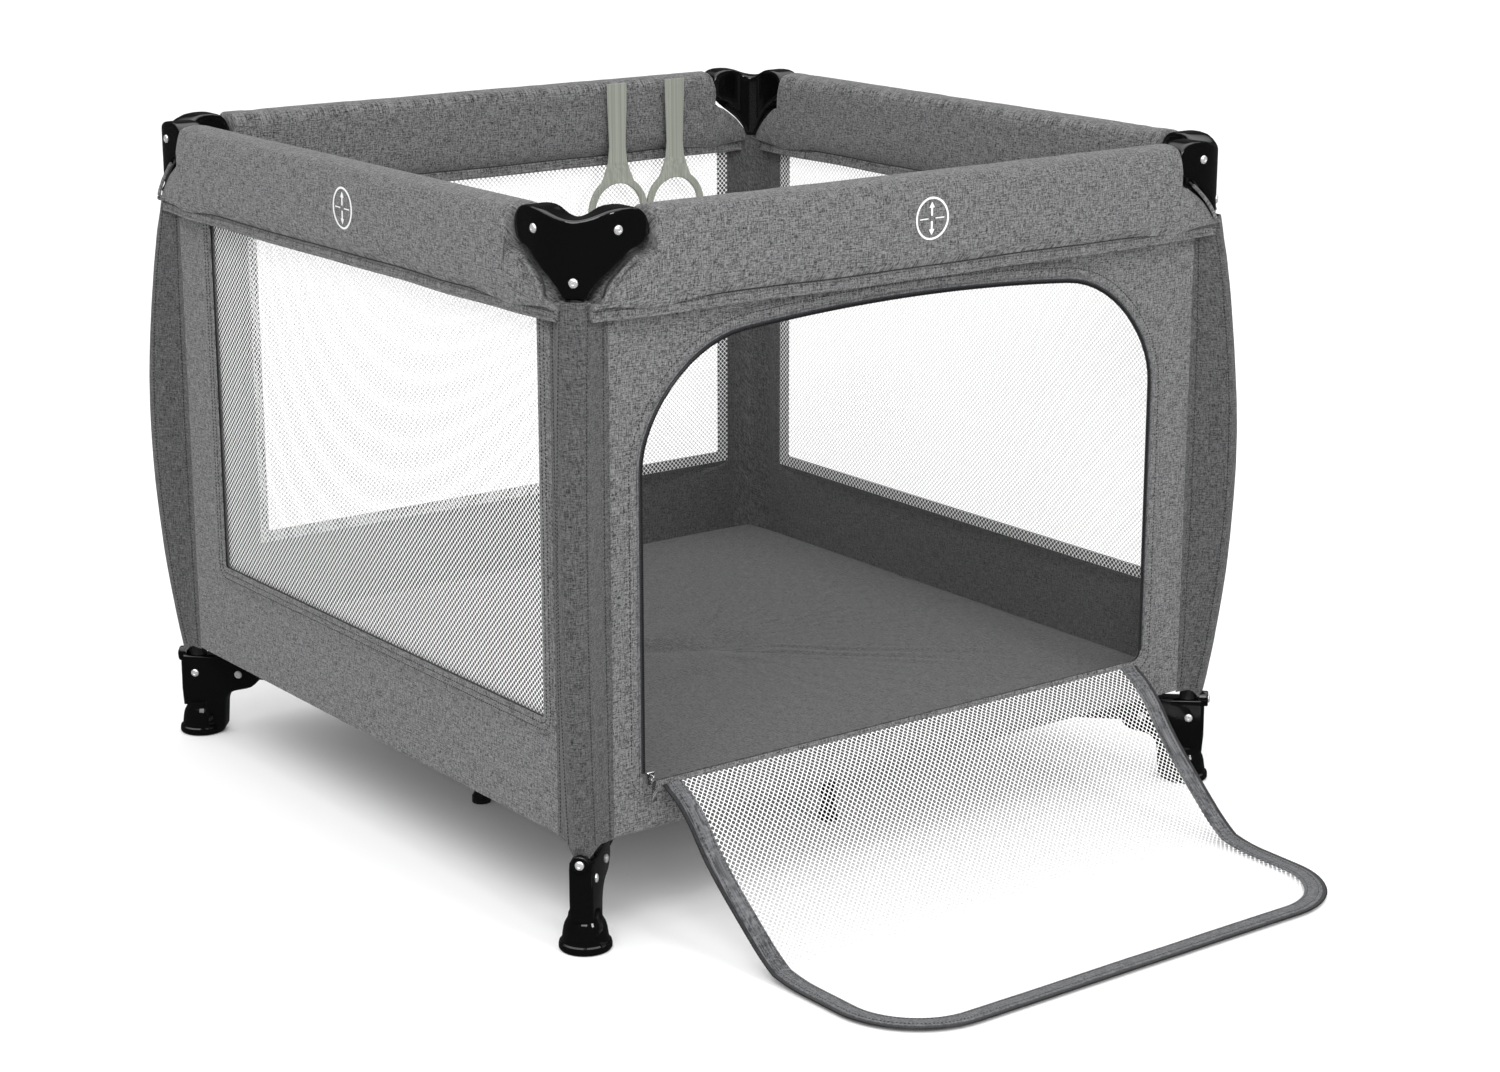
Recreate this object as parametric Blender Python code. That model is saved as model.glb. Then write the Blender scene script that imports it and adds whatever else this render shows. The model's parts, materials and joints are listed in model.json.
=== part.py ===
"""Square folding playpen with a zipped doorway, built as its separate pieces.

The origin is the flat underside of the centre foot, on the floor in the middle of the pen. +Z is up, and the
doorway side faces -Y. Each side is a pair of half rails that meet in a lock housing, and each corner is a bowed
post between a two-lobed head and a booted foot. Four base bars run on the diagonals from the feet to the hub.

Folding: the four base bars turn up about their foot pins and lift the hub, and each side's half rails turn down
about their head pins. All of them turn by the same angle, which closes exactly because a base bar is sqrt(2)
times as long as a half rail between its pins.
"""

import math

import bmesh
import bpy
from mathutils import Matrix, Vector

# ---------------------------------------------------------------- driving sizes, in metres
HALF_SPAN = 0.436        # middle of the pen to the line of the top rails
HEIGHT = 0.760           # floor to the top of the heads
CLEAR = 0.0003           # gap between pieces that touch
RUN_CLEAR = 0.0005       # gap round a pin that turns
SOFT_CLEAR = 0.0010      # gap between a fabric piece and its neighbour

# Tubes and pins
POST_R = 0.0100
POST_WALL = 0.0012
POST_BOW = 0.030         # how far a post stands out of its own chord, on the diagonal
POST_INSET = 0.0096      # rail line to the post's axis, along X and along Y
RAIL_R = 0.0110
RAIL_WALL = 0.0012
BAR_R = 0.0090
BAR_WALL = 0.0012
ARM_R = 0.0080
PIN_R = 0.0030
POST_SEAT = 0.0100       # top of the boot to the post's lower end
TUBE_TAIL = 0.0090       # how far a tube goes on past its pin
WEB = 0.0060             # plastic left over a slot

# Heads
HEAD_DEPTH = 0.0320      # across the rail
HEAD_BEND_R = 0.0545     # outer radius of the head round the corner
HEAD_LOW = 0.088         # top of the head down to its throat
HEAD_DIP = 0.007         # dip between the two lobes
HEAD_THROAT = 0.0135     # half the width of the throat
LOBE_PIN = 0.0470        # corner of the rail lines to the rail's pin
LOBE_REACH = 0.0840      # corner of the rail lines to the lobe's end
LOBE_R = 0.0205
RAIL_DROP = 0.0220       # head's top to the rails' axis

# Feet
BOOT_R = 0.0280
BOOT_H = 0.0400
BOOT_BORE = 0.0280       # how deep the foot's stub goes into the boot
STUB_R = 0.0110
FOOT_DEPTH = 0.0280
FOOT_OUT = 0.0190        # post's axis to the foot's outer edge
FOOT_LEG_IN = 0.0270     # post's axis to the leg's inner edge
FOOT_ABOVE = 0.0180      # base bar's axis to the foot's top
FOOT_STEP = 0.0060       # boot to the start of the curve under the arm
FOOT_PIN = 0.0455        # post's axis to the base bar's pin
BAR_Z = 0.0770           # height of the base bars

# Locks in the middle of the rails
LOCK_PIN = 0.0360        # middle of the rail to each of the lock's pins
LOCK_TAIL = 0.0200
BUTTON_R = 0.0120
BUTTON_OUT = 0.0040
BUTTON_LONG = 0.0140
BUTTON_TRAVEL = 0.0050

# Hub and side support arms
HUB_RIM = 0.0217         # bars' pins to the hub's rim
HUB_ABOVE = 0.0300       # base bar's axis to the hub's top
HUB_BELOW = 0.0150
CENTRE_FOOT_R = 0.0200
ARM_PIN = 0.0600
ARM_SHORT = 0.1500       # rail line to a support arm's leg
ARM_FOOT_R = 0.0110

# Fabric
WALL_T = 0.0030
WALL_GAP = 0.0015        # floor sheet to the walls' lower edge
COVER_DROP = 0.0010      # head's top to the cover's top
COVER_TALL = 0.1040
COVER_HALF = 0.0300      # half of the padded cover, across the rail
COVER_T = 0.0050
COVER_END = 0.0950       # corner of the rail lines to the cover's end
SLEEVE_GAP = 0.0050      # foot to sleeve
SLEEVE_DROP = 0.0080     # head's throat to sleeve
SLEEVE_T = 0.0026
FLOOR_T = 0.0030
FLOOR_GAP = 0.0005       # hub to floor sheet
MATTRESS_T = 0.0270
MATTRESS_GAP = 0.0200    # side wall to the mattress
DOOR_LEFT_POST = 0.0493  # wall's end to the doorway's side
DOOR_RIGHT_POST = 0.0763
DOOR_SILL = 0.1650
DOOR_HEAD = 0.0280       # doorway's top to the cover's lower edge
DOOR_ROUND = 0.1700
FLAP_T = 0.0030
FLAP_EDGE = 0.0250       # doorway's side to the flap's side, at the sill
FLAP_TAPER = 0.0140      # how much each side of the flap draws in towards its end
FLAP_SLOPE = math.radians(42)
FLAP_SHORT = 0.0350      # flap's end to the doorway's top when it is closed
FLAP_ROUND = 0.1000
CREASE_GAP = 0.0040
STRAP_W = 0.0280
STRAP_T = 0.0026
STRAP_LONG = 0.1350
STRAPS_IN = (0.246, 0.155)  # corner of the rail lines to each strap
RING_R = 0.0380
RING_SECTION = 0.0070
SLIDER_SIZE = (0.0090, 0.0050, 0.0160)

BOW_STEPS = 6
BEND_APART = 0.010       # least distance from a sleeve's end to the next bend
TUBE_SIDES = 12
ROUND_SIDES = 20
PIN_SIDES = 12
HUB_SIDES = 32

# ---------------------------------------------------------------- sizes that follow
RAIL_Z = HEIGHT - RAIL_DROP
HALF_RAIL = HALF_SPAN - LOBE_PIN - LOCK_PIN
BASE_BAR = HALF_RAIL * math.sqrt(2)
POST_XY = HALF_SPAN - POST_INSET
POST_RADIUS = POST_XY * math.sqrt(2)
FOOT_PIN_RADIUS = POST_RADIUS - FOOT_PIN
HUB_PIN = FOOT_PIN_RADIUS - BASE_BAR
HEAD_THROAT_Z = HEIGHT - HEAD_LOW
POST_TOP_Z = RAIL_Z - 0.004
FOOT_TOP = BAR_Z + FOOT_ABOVE
POST_END_Z = BOOT_H + POST_SEAT
HUB_R = HUB_PIN + HUB_RIM
HUB_TOP = BAR_Z + HUB_ABOVE
ARM_REACH = HALF_SPAN - ARM_SHORT
COVER_TOP = HEIGHT - COVER_DROP
COVER_LOW = COVER_TOP - COVER_TALL
SLEEVE_LOW = FOOT_TOP + SLEEVE_GAP
SLEEVE_TOP = HEAD_THROAT_Z - SLEEVE_DROP
FLOOR_Z = HUB_TOP + FLOOR_GAP
WALL_Y = HALF_SPAN
WALL_END = POST_XY - POST_R - SLEEVE_T - RUN_CLEAR - SOFT_CLEAR
WALL_LOW = FLOOR_Z + FLOOR_T + WALL_GAP
WALL_TOP = COVER_LOW - SOFT_CLEAR
DOOR_LEFT = DOOR_LEFT_POST - WALL_END
DOOR_RIGHT = WALL_END - DOOR_RIGHT_POST
DOOR_TOP = COVER_LOW - DOOR_HEAD
FLAP_HINGE_Y = -(WALL_Y + WALL_T / 2 + SOFT_CLEAR + FLAP_T / 2)
FLAP_HINGE_Z = DOOR_SILL - 0.005
CREASE_Y = FLAP_HINGE_Y - (FLAP_HINGE_Z - FLAP_T / 2) / math.tan(FLAP_SLOPE)
FLAP_SLOPED = (FLAP_HINGE_Z - FLAP_T / 2) / math.sin(FLAP_SLOPE)
FLAP_FLAT = DOOR_TOP - FLAP_SHORT - FLAP_HINGE_Z - FLAP_SLOPED

CORNERS = {
    "front_left": (-1, -1),
    "front_right": (1, -1),
    "rear_left": (-1, 1),
    "rear_right": (1, 1),
}
# Each side's quarter turn from the front, and the names of its half rails from its own left to its own right.
SIDES = {
    "front": (0, ("left", "right")),
    "right": (1, ("front", "rear")),
    "rear": (2, ("right", "left")),
    "left": (3, ("rear", "front")),
}


# ---------------------------------------------------------------- materials and objects
def clear_scene():
    for obj in list(bpy.data.objects):
        bpy.data.objects.remove(obj, do_unlink=True)


def finish(name, colour, roughness, metallic=0.0):
    made = bpy.data.materials.get(name)
    if made is None:
        made = bpy.data.materials.new(name)
        made.use_nodes = True
        shader = made.node_tree.nodes["Principled BSDF"]
        shader.inputs["Base Color"].default_value = (*colour, 1)
        shader.inputs["Roughness"].default_value = roughness
        shader.inputs["Metallic"].default_value = metallic
        made.diffuse_color = (*colour, 1)
    return made


def gloss_black():
    return finish("gloss_black_plastic", (0.006, 0.006, 0.007), 0.12)


def satin_black():
    return finish("satin_black_plastic", (0.012, 0.012, 0.013), 0.38)


def painted_steel():
    return finish("black_painted_steel", (0.015, 0.015, 0.016), 0.35, 0.6)


def melange():
    return finish("grey_melange_fabric", (0.16, 0.16, 0.165), 0.92)


def dark_melange():
    return finish("dark_grey_fabric", (0.07, 0.07, 0.072), 0.94)


def white_net():
    return finish("white_net", (0.85, 0.85, 0.85), 0.8)


def grey_webbing():
    return finish("grey_green_webbing", (0.27, 0.29, 0.25), 0.75)


def chrome():
    return finish("chrome", (0.82, 0.82, 0.83), 0.12, 1.0)


def add(name, mesh, material=None, at=None, axis=None, sharp=40):
    """A new object whose mesh stands at the matrix at, carried by the empty that holds its joint's axis."""
    obj = bpy.data.objects.new(name, mesh)
    bpy.context.scene.collection.objects.link(obj)
    at = at or Matrix.Identity(4)
    if axis is None:
        obj.matrix_basis = at
    else:
        obj.parent = axis
        obj.matrix_basis = axis.matrix_basis.inverted() @ at
    if material:
        mesh.materials.append(material)
    mesh.shade_smooth()
    mesh.set_sharp_from_angle(angle=math.radians(sharp))
    return obj


def joint_axis(name, place, turn=0.0):
    empty = bpy.data.objects.new(name, None)
    bpy.context.scene.collection.objects.link(empty)
    empty.matrix_basis = Matrix.Translation(place) @ Matrix.Rotation(turn, 4, "Z")
    return empty


def mesh_of(name, bm):
    """The mesh of a closed solid, with all its faces pointing out."""
    bmesh.ops.recalc_face_normals(bm, faces=bm.faces)
    if bm.calc_volume(signed=True) < 0:
        bmesh.ops.reverse_faces(bm, faces=bm.faces)
    mesh = bpy.data.meshes.new(name)
    bm.to_mesh(mesh)
    bm.free()
    return mesh


def shape_with(obj, operation, name, mesh, at=None):
    """A Boolean on obj with a helper that isn't a piece of its own. The helper stands in obj's own frame."""
    helper = bpy.data.objects.new(name, mesh)
    bpy.context.scene.collection.objects.link(helper)
    helper.parent = obj
    helper.matrix_basis = at or Matrix.Identity(4)
    helper.hide_render = True
    helper.display_type = "WIRE"
    modifier = obj.modifiers.new(name, "BOOLEAN")
    modifier.operation = operation
    modifier.solver = "EXACT"
    modifier.object = helper


def cut(obj, name, mesh, at=None):
    shape_with(obj, "DIFFERENCE", name, mesh, at)


def fuse(obj, name, mesh, at=None):
    shape_with(obj, "UNION", name, mesh, at)


# ---------------------------------------------------------------- simple shapes
def box_mesh(name, low, high):
    bm = bmesh.new()
    bmesh.ops.create_cube(bm, size=1.0)
    low, high = Vector(low), Vector(high)
    size, middle = high - low, (high + low) / 2
    for v in bm.verts:
        v.co = Vector((v.co.x * size.x, v.co.y * size.y, v.co.z * size.z)) + middle
    return mesh_of(name, bm)


def cylinder_mesh(name, radius, start, end, sides, top_radius=None):
    """A cylinder or a cone from the point start to the point end."""
    start, end = Vector(start), Vector(end)
    along = end - start
    bm = bmesh.new()
    bmesh.ops.create_cone(
        bm,
        cap_ends=True,
        segments=sides,
        radius1=radius,
        radius2=radius if top_radius is None else top_radius,
        depth=along.length,
    )
    turn = along.to_track_quat("Z", "Y").to_matrix().to_4x4()
    bm.transform(Matrix.Translation((start + end) / 2) @ turn)
    return mesh_of(name, bm)


def slab_mesh(name, outline, thickness, hole=None):
    """An outline in local X and Z, given its thickness along Y, with an opening if there is a hole."""
    bm = bmesh.new()
    edges = []
    for loop in filter(None, (outline, hole)):
        verts = [bm.verts.new((x, -thickness / 2, z)) for x, z in loop]
        edges += [bm.edges.new((v, verts[(i + 1) % len(verts)])) for i, v in enumerate(verts)]
    faces = bmesh.ops.triangle_fill(bm, edges=edges, use_beauty=True)["geom"]
    faces = [f for f in faces if isinstance(f, bmesh.types.BMFace)]
    moved = bmesh.ops.extrude_face_region(bm, geom=faces, use_keep_orig=True)["geom"]
    bmesh.ops.translate(
        bm, vec=(0, thickness, 0), verts=[v for v in moved if isinstance(v, bmesh.types.BMVert)]
    )
    return mesh_of(name, bm)


def arc(centre, radius, start, end, steps):
    """Points on an arc, from the angle start to the angle end, in degrees."""
    rx, rz = radius if isinstance(radius, tuple) else (radius, radius)
    turns = [math.radians(start + (end - start) * i / steps) for i in range(steps + 1)]
    return [(centre[0] + rx * math.cos(t), centre[1] + rz * math.sin(t)) for t in turns]


def tube_mesh(name, path, outer, inner=0.0, sides=TUBE_SIDES, side_axis=(0, 1, 0), oval=1.0):
    """A tube along a path that lies in one plane, or a rod if it has no inner radius. oval widens it in the plane."""
    path = [Vector(p) for p in path]
    across = Vector(side_axis).normalized()
    bm = bmesh.new()

    def ring(i, radius):
        before, after = path[max(i - 1, 0)], path[min(i + 1, len(path) - 1)]
        up = across.cross((after - before).normalized())
        turns = [2 * math.pi * (k + 0.5) / sides for k in range(sides)]
        return [
            bm.verts.new(path[i] + radius * (across * math.cos(t) + up * math.sin(t) * oval)) for t in turns
        ]

    def skin(rings):
        for a, b in zip(rings, rings[1:]):
            for k in range(sides):
                bm.faces.new((a[k], a[(k + 1) % sides], b[(k + 1) % sides], b[k]))

    outside = [ring(i, outer) for i in range(len(path))]
    skin(outside)
    if inner:
        inside = [ring(i, inner) for i in range(len(path))]
        skin(inside)
        for end in (0, -1):
            skin([outside[end], inside[end]])
    else:
        bm.faces.new(outside[0])
        bm.faces.new(outside[-1])
    return mesh_of(name, bm)


def turned_mesh(name, profile, sides):
    """A solid turned about Z from points of radius and height. Both ends of the profile are on the axis."""
    bm = bmesh.new()
    rings = []
    for radius, z in profile:
        if radius == 0:
            rings.append([bm.verts.new((0, 0, z))])
        else:
            turns = [2 * math.pi * k / sides for k in range(sides)]
            rings.append([bm.verts.new((radius * math.cos(t), radius * math.sin(t), z)) for t in turns])
    for a, b in zip(rings, rings[1:]):
        for k in range(sides):
            corners = [a[k % len(a)], a[(k + 1) % len(a)], b[(k + 1) % len(b)], b[k % len(b)]]
            bm.faces.new(list(dict.fromkeys(corners)))
    return mesh_of(name, bm)


# ---------------------------------------------------------------- where things stand
def corner_place(sx, sy, z=0.0):
    """A frame on a post's axis, with its own +X towards the middle of the pen."""
    inward = math.atan2(-sy, -sx)
    return Matrix.Translation((sx * POST_XY, sy * POST_XY, z)) @ Matrix.Rotation(inward, 4, "Z")


def side_place(quarter):
    """The front side's frame, turned to a side."""
    return Matrix.Rotation(quarter * math.pi / 2, 4, "Z")


def bow_stations():
    """A post's bends from its foot to its head, in the corner's frame. It stands out most at half height."""
    shares = [i / BOW_STEPS for i in range(BOW_STEPS + 1)]
    high = HEAD_THROAT_Z - FOOT_TOP
    return [(-POST_BOW * math.sin(math.pi * s) ** 0.85, 0, FOOT_TOP + high * s) for s in shares]


def along_bow(low, high):
    """The stretch of a post's axis between two heights, with the post's own bends."""
    stations = bow_stations()

    def at(z):
        for a, b in zip(stations, stations[1:]):
            if a[2] <= z <= b[2]:
                share = (z - a[2]) / (b[2] - a[2])
                return (a[0] + (b[0] - a[0]) * share, 0, z)
        return stations[0] if z < stations[0][2] else stations[-1]

    between = [p for p in stations if low + BEND_APART < p[2] < high - BEND_APART]
    return [at(low), *between, at(high)]


# ---------------------------------------------------------------- corners
def head_mesh(name):
    """The head, as a band of plastic round the corner whose top and bottom edges make its two lobes.

    It is made in a frame on the corner of the rail lines, with the rails running off towards +X and +Y.
    """
    half = HEAD_DEPTH / 2
    bend = HEAD_BEND_R - half
    centre = HEAD_BEND_R - half
    arc_half = bend * math.pi / 4
    lobe_end = LOBE_REACH - centre + arc_half
    lobe = (lobe_end - LOBE_R, HEIGHT - LOBE_R)
    turns = [0.0, 25.0, 50.0, 75.0]
    stations = [0.0, HEAD_THROAT, arc_half * 0.8, arc_half, (arc_half + lobe[0]) / 2]
    stations += [lobe[0] + LOBE_R * math.sin(math.radians(t)) for t in turns]

    def edges(t):
        if t <= lobe[0]:
            share = t / lobe[0]
            top = HEIGHT - HEAD_DIP * (1 - share * share * (3 - 2 * share))
        else:
            top = lobe[1] + math.sqrt(max(LOBE_R**2 - (t - lobe[0]) ** 2, 0))
        throat_slope = (lobe[1] - LOBE_R * 0.8 - HEAD_THROAT_Z) / (lobe[0] + LOBE_R * 0.6 - HEAD_THROAT)
        low = HEAD_THROAT_Z + max(0.0, t - HEAD_THROAT) * throat_slope
        if t > lobe[0]:
            low = max(low, lobe[1] - math.sqrt(max(LOBE_R**2 - (t - lobe[0]) ** 2, 0)))
        return low, top

    def plan(t, out):
        """Plan position of the band at a distance along it. out is +1 on the outer face and -1 on the inner."""
        side = 1 if t >= 0 else -1
        t = abs(t)
        if t < arc_half:
            angle = math.radians(225) + t / bend
            radius = bend + out * half
            x, y = centre + radius * math.cos(angle), centre + radius * math.sin(angle)
        else:
            x, y = centre + t - arc_half, -out * half
        return (x, y) if side > 0 else (y, x)

    bm = bmesh.new()
    rings = []
    for t in [-t for t in reversed(stations[1:])] + stations:
        low, top = edges(abs(t))
        section = ((1, low), (1, top), (-1, top), (-1, low))
        rings.append([bm.verts.new((*plan(t, out), z)) for out, z in section])
    for a, b in zip(rings, rings[1:]):
        for k in range(4):
            bm.faces.new((a[k], a[(k + 1) % 4], b[(k + 1) % 4], b[k]))
    bm.faces.new(rings[0])
    bm.faces.new(rings[-1])
    # The faces along the bend are twisted, so they are split into flat triangles before anything is cut.
    bmesh.ops.triangulate(bm, faces=bm.faces)
    return mesh_of(name, bm)


def rail_slot_mesh(name):
    """Room for a rail's end in a lobe: closed above, open below and at the lobe's end."""
    swing = math.hypot(RAIL_R, TUBE_TAIL) + 0.0008
    above = RAIL_Z + RAIL_R + 0.0010
    stop = math.degrees(math.asin((above - RAIL_Z) / swing))
    outline = arc((LOBE_PIN, RAIL_Z), swing, 180, stop, 5)
    outline += [(LOBE_REACH + 0.01, above), (LOBE_REACH + 0.01, HEAD_THROAT_Z - 0.01)]
    outline += [(LOBE_PIN - swing, HEAD_THROAT_Z - 0.01)]
    return slab_mesh(name, outline, 2 * (RAIL_R + RUN_CLEAR))


def make_head(name, sx, sy, axis):
    from_corner = Matrix.Translation((sx * HALF_SPAN, sy * HALF_SPAN, 0))
    at = from_corner @ Matrix.Rotation(math.atan2(-sy, -sx) - math.pi / 4, 4, "Z")
    head = add(name, head_mesh(name), gloss_black(), at, axis)
    swap = Matrix(((0, 1, 0, 0), (1, 0, 0, 0), (0, 0, 1, 0), (0, 0, 0, 1)))
    across = HEAD_DEPTH / 2 - 0.001
    for k, turn in enumerate((Matrix.Identity(4), Matrix.Rotation(math.pi / 2, 4, "Z"))):
        slot = rail_slot_mesh(f"{name}_slot_{k}")
        if k:
            slot.transform(swap)
            slot.flip_normals()
            ends = ((-across, LOBE_PIN, RAIL_Z), (across, LOBE_PIN, RAIL_Z))
        else:
            ends = ((LOBE_PIN, -across, RAIL_Z), (LOBE_PIN, across, RAIL_Z))
        cut(head, f"{name}_cut_{k}", slot)
        fuse(head, f"{name}_pin_{k}", cylinder_mesh(f"{name}_pin_{k}", PIN_R, *ends, PIN_SIDES))
    socket = ((POST_INSET, POST_INSET, HEAD_THROAT_Z - 0.01), (POST_INSET, POST_INSET, POST_TOP_Z + CLEAR))
    cut(head, f"{name}_socket", cylinder_mesh(f"{name}_socket", POST_R + RUN_CLEAR, *socket, TUBE_SIDES))
    return head


def make_foot(name, sx, sy, axis):
    """The bracket that holds the post and, in a slot in its arm, the base bar. Its stub goes into the boot."""
    swing = math.hypot(BAR_R, TUBE_TAIL) + 0.0008
    arm_end = FOOT_PIN + BAR_R + 0.008
    arm_low = BAR_Z - swing - WEB / 2
    outline = [(-FOOT_OUT, BOOT_H + CLEAR), (FOOT_LEG_IN, BOOT_H + CLEAR)]
    under = arm_low - BOOT_H - CLEAR - FOOT_STEP
    outline += arc((arm_end - 0.010, arm_low - under), (arm_end - 0.010 - FOOT_LEG_IN, under), 180, 90, 5)
    outline += arc((arm_end - 0.006, arm_low + 0.006), 0.006, -90, 0, 3)
    outline += [(arm_end, FOOT_TOP - 0.010), (FOOT_PIN, FOOT_TOP), (-FOOT_OUT, FOOT_TOP)]
    foot = add(name, slab_mesh(name, outline, FOOT_DEPTH), satin_black(), corner_place(sx, sy), axis)
    half = BAR_R + RUN_CLEAR
    slot = box_mesh(
        f"{name}_slot", (FOOT_PIN - swing, -half, BAR_Z - swing), (arm_end + 0.01, half, FOOT_TOP + 0.01)
    )
    cut(foot, f"{name}_slot", slot)
    ends = ((0, 0, POST_END_Z - CLEAR), (0, 0, FOOT_TOP + 0.01))
    cut(foot, f"{name}_socket", tube_mesh(f"{name}_socket", ends, POST_R + CLEAR))
    ends = ((0, 0, BOOT_H - BOOT_BORE + CLEAR), (0, 0, BOOT_H + 0.002))
    fuse(foot, f"{name}_stub", cylinder_mesh(f"{name}_stub", STUB_R, *ends, TUBE_SIDES))
    across = FOOT_DEPTH / 2 - 0.001
    ends = ((FOOT_PIN, -across, BAR_Z), (FOOT_PIN, across, BAR_Z))
    fuse(foot, f"{name}_pin", cylinder_mesh(f"{name}_pin", PIN_R, *ends, PIN_SIDES))
    return foot


def make_boot(name, sx, sy, axis):
    """A domed rubber boot with a flared rim and a bore for the foot's stub."""
    bore = STUB_R + CLEAR
    floor = BOOT_H - BOOT_BORE
    dome = arc((0, 0.005), (BOOT_R - 0.002, BOOT_H - 0.005), 0, 58, 3)
    profile = [(0, 0), (BOOT_R - 0.001, 0), (BOOT_R, 0.002), *dome, (bore, BOOT_H), (bore, floor), (0, floor)]
    mesh = turned_mesh(name, profile, ROUND_SIDES)
    return add(name, mesh, gloss_black(), corner_place(sx, sy), axis)


def make_post(name, sx, sy, axis):
    path = [(0, 0, POST_END_Z), *bow_stations(), (0, 0, POST_TOP_Z)]
    mesh = tube_mesh(name, path, POST_R, POST_R - POST_WALL)
    return add(name, mesh, painted_steel(), corner_place(sx, sy), axis)


def make_sleeve(name, sx, sy, axis):
    path = along_bow(SLEEVE_LOW, SLEEVE_TOP)
    inner = POST_R + RUN_CLEAR
    mesh = tube_mesh(name, path, inner + SLEEVE_T, inner)
    return add(name, mesh, melange(), corner_place(sx, sy), axis)


def make_corner(name, sx, sy):
    pin = corner_place(sx, sy) @ Matrix.Translation((FOOT_PIN, 0, BAR_Z))
    axis = joint_axis(f"{name}_axis", pin.to_translation(), math.atan2(-sy, -sx))
    make_head(f"{name}_head", sx, sy, axis)
    make_foot(f"{name}_foot", sx, sy, axis)
    make_boot(f"{name}_boot", sx, sy, axis)
    make_post(f"{name}_post", sx, sy, axis)
    make_sleeve(f"{name}_post_sleeve", sx, sy, axis)


# ---------------------------------------------------------------- top rails and locks
def pinned_tube(name, length, radius, wall, at, material):
    """A straight tube along +X with a cross hole for a pin at the origin and another at its length."""
    path = [(-TUBE_TAIL, 0, 0), (length + TUBE_TAIL, 0, 0)]
    tube = add(name, tube_mesh(name, path, radius, radius - wall), material, at)
    for k, x in enumerate((0.0, length)):
        ends = ((x, -2 * radius, 0), (x, 2 * radius, 0))
        hole = cylinder_mesh(f"{name}_hole_{k}", PIN_R + RUN_CLEAR, *ends, PIN_SIDES)
        cut(tube, f"{name}_hole_{k}", hole)
    return tube


def make_rail(side, end, turn, from_head):
    """One half rail of a side. end is -1 for the side's own left. It stands on the pin that it turns about."""
    head_x, lock_x = HALF_SPAN - LOBE_PIN, LOCK_PIN
    start = end * (head_x if from_head else lock_x)
    facing = 0.0 if (end < 0) == from_head else math.pi
    at = side_place(turn) @ Matrix.Translation((start, -HALF_SPAN, RAIL_Z)) @ Matrix.Rotation(facing, 4, "Z")
    name = f"{side}_rail_{SIDES[side][1][0 if end < 0 else 1]}"
    pinned_tube(name, HALF_RAIL, RAIL_R, RAIL_WALL, at, painted_steel())


def make_lock(side, turn, axis_x):
    """The lock housing: a channel open above, with a pin for each half rail and a bore for the button."""
    swing = math.hypot(RAIL_R, TUBE_TAIL) + 0.0008
    half, low = HEAD_DEPTH / 2, -swing - WEB / 2
    long = LOCK_PIN + LOCK_TAIL
    at = side_place(turn) @ Matrix.Translation((axis_x, -HALF_SPAN, RAIL_Z))
    name = f"{side}_lock_housing"
    body = box_mesh(name, (-axis_x - long, -half, low), (-axis_x + long, half, swing))
    housing = add(name, body, satin_black(), at)
    inside = LOCK_PIN - swing
    for k, way in enumerate((-1, 1)):
        xs = sorted((way * inside - axis_x, way * (long + 0.01) - axis_x))
        room = RAIL_R + RUN_CLEAR
        slot = box_mesh(f"{name}_slot_{k}", (xs[0], -room, -swing), (xs[1], room, swing + 0.01))
        cut(housing, f"{name}_slot_{k}", slot)
        across = half - 0.001
        ends = ((way * LOCK_PIN - axis_x, -across, 0), (way * LOCK_PIN - axis_x, across, 0))
        fuse(housing, f"{name}_pin_{k}", cylinder_mesh(f"{name}_pin_{k}", PIN_R, *ends, PIN_SIDES))
    deep = BUTTON_LONG - BUTTON_OUT + BUTTON_TRAVEL + 0.001
    ends = ((-axis_x, -half - 0.01, 0), (-axis_x, -half + deep, 0))
    bore = cylinder_mesh(f"{name}_bore", BUTTON_R + CLEAR, *ends, ROUND_SIDES)
    cut(housing, f"{name}_bore", bore)


def make_button(side, turn):
    """The round button that frees the lock when it is pressed through the cover."""
    face = -HALF_SPAN - HEAD_DEPTH / 2 - BUTTON_OUT
    at = side_place(turn) @ Matrix.Translation((0, face, RAIL_Z))
    name = f"{side}_lock_button"
    ends = ((0, 0, 0), (0, BUTTON_LONG, 0))
    add(name, cylinder_mesh(name, BUTTON_R, *ends, ROUND_SIDES), satin_black(), at)


def make_rail_cover(side, turn):
    """The padded cover: a tube of fabric round the rail and its lock, from lobe to lobe."""
    half_long = HALF_SPAN - COVER_END
    at = side_place(turn) @ Matrix.Translation((0, -HALF_SPAN, 0))
    name = f"{side}_rail_cover"
    low, high = (-half_long, -COVER_HALF, COVER_LOW), (half_long, COVER_HALF, COVER_TOP)
    cover = add(name, box_mesh(name, low, high), melange(), at)
    reach = COVER_HALF - COVER_T
    low = (-half_long - 0.01, -reach, COVER_LOW + COVER_T)
    high = (half_long + 0.01, reach, COVER_TOP - COVER_T / 2)
    cut(cover, f"{name}_hollow", box_mesh(f"{name}_hollow", low, high))


def make_side_frame(side):
    turn, _ = SIDES[side]
    # The half rail that hangs on its head comes first, and the lock hangs on that one.
    first = -1 if side in ("front", "right") else 1
    make_rail(side, first, turn, True)
    make_lock(side, turn, first * LOCK_PIN)
    make_rail(side, -first, turn, False)
    make_button(side, turn)
    make_rail_cover(side, turn)


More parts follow.
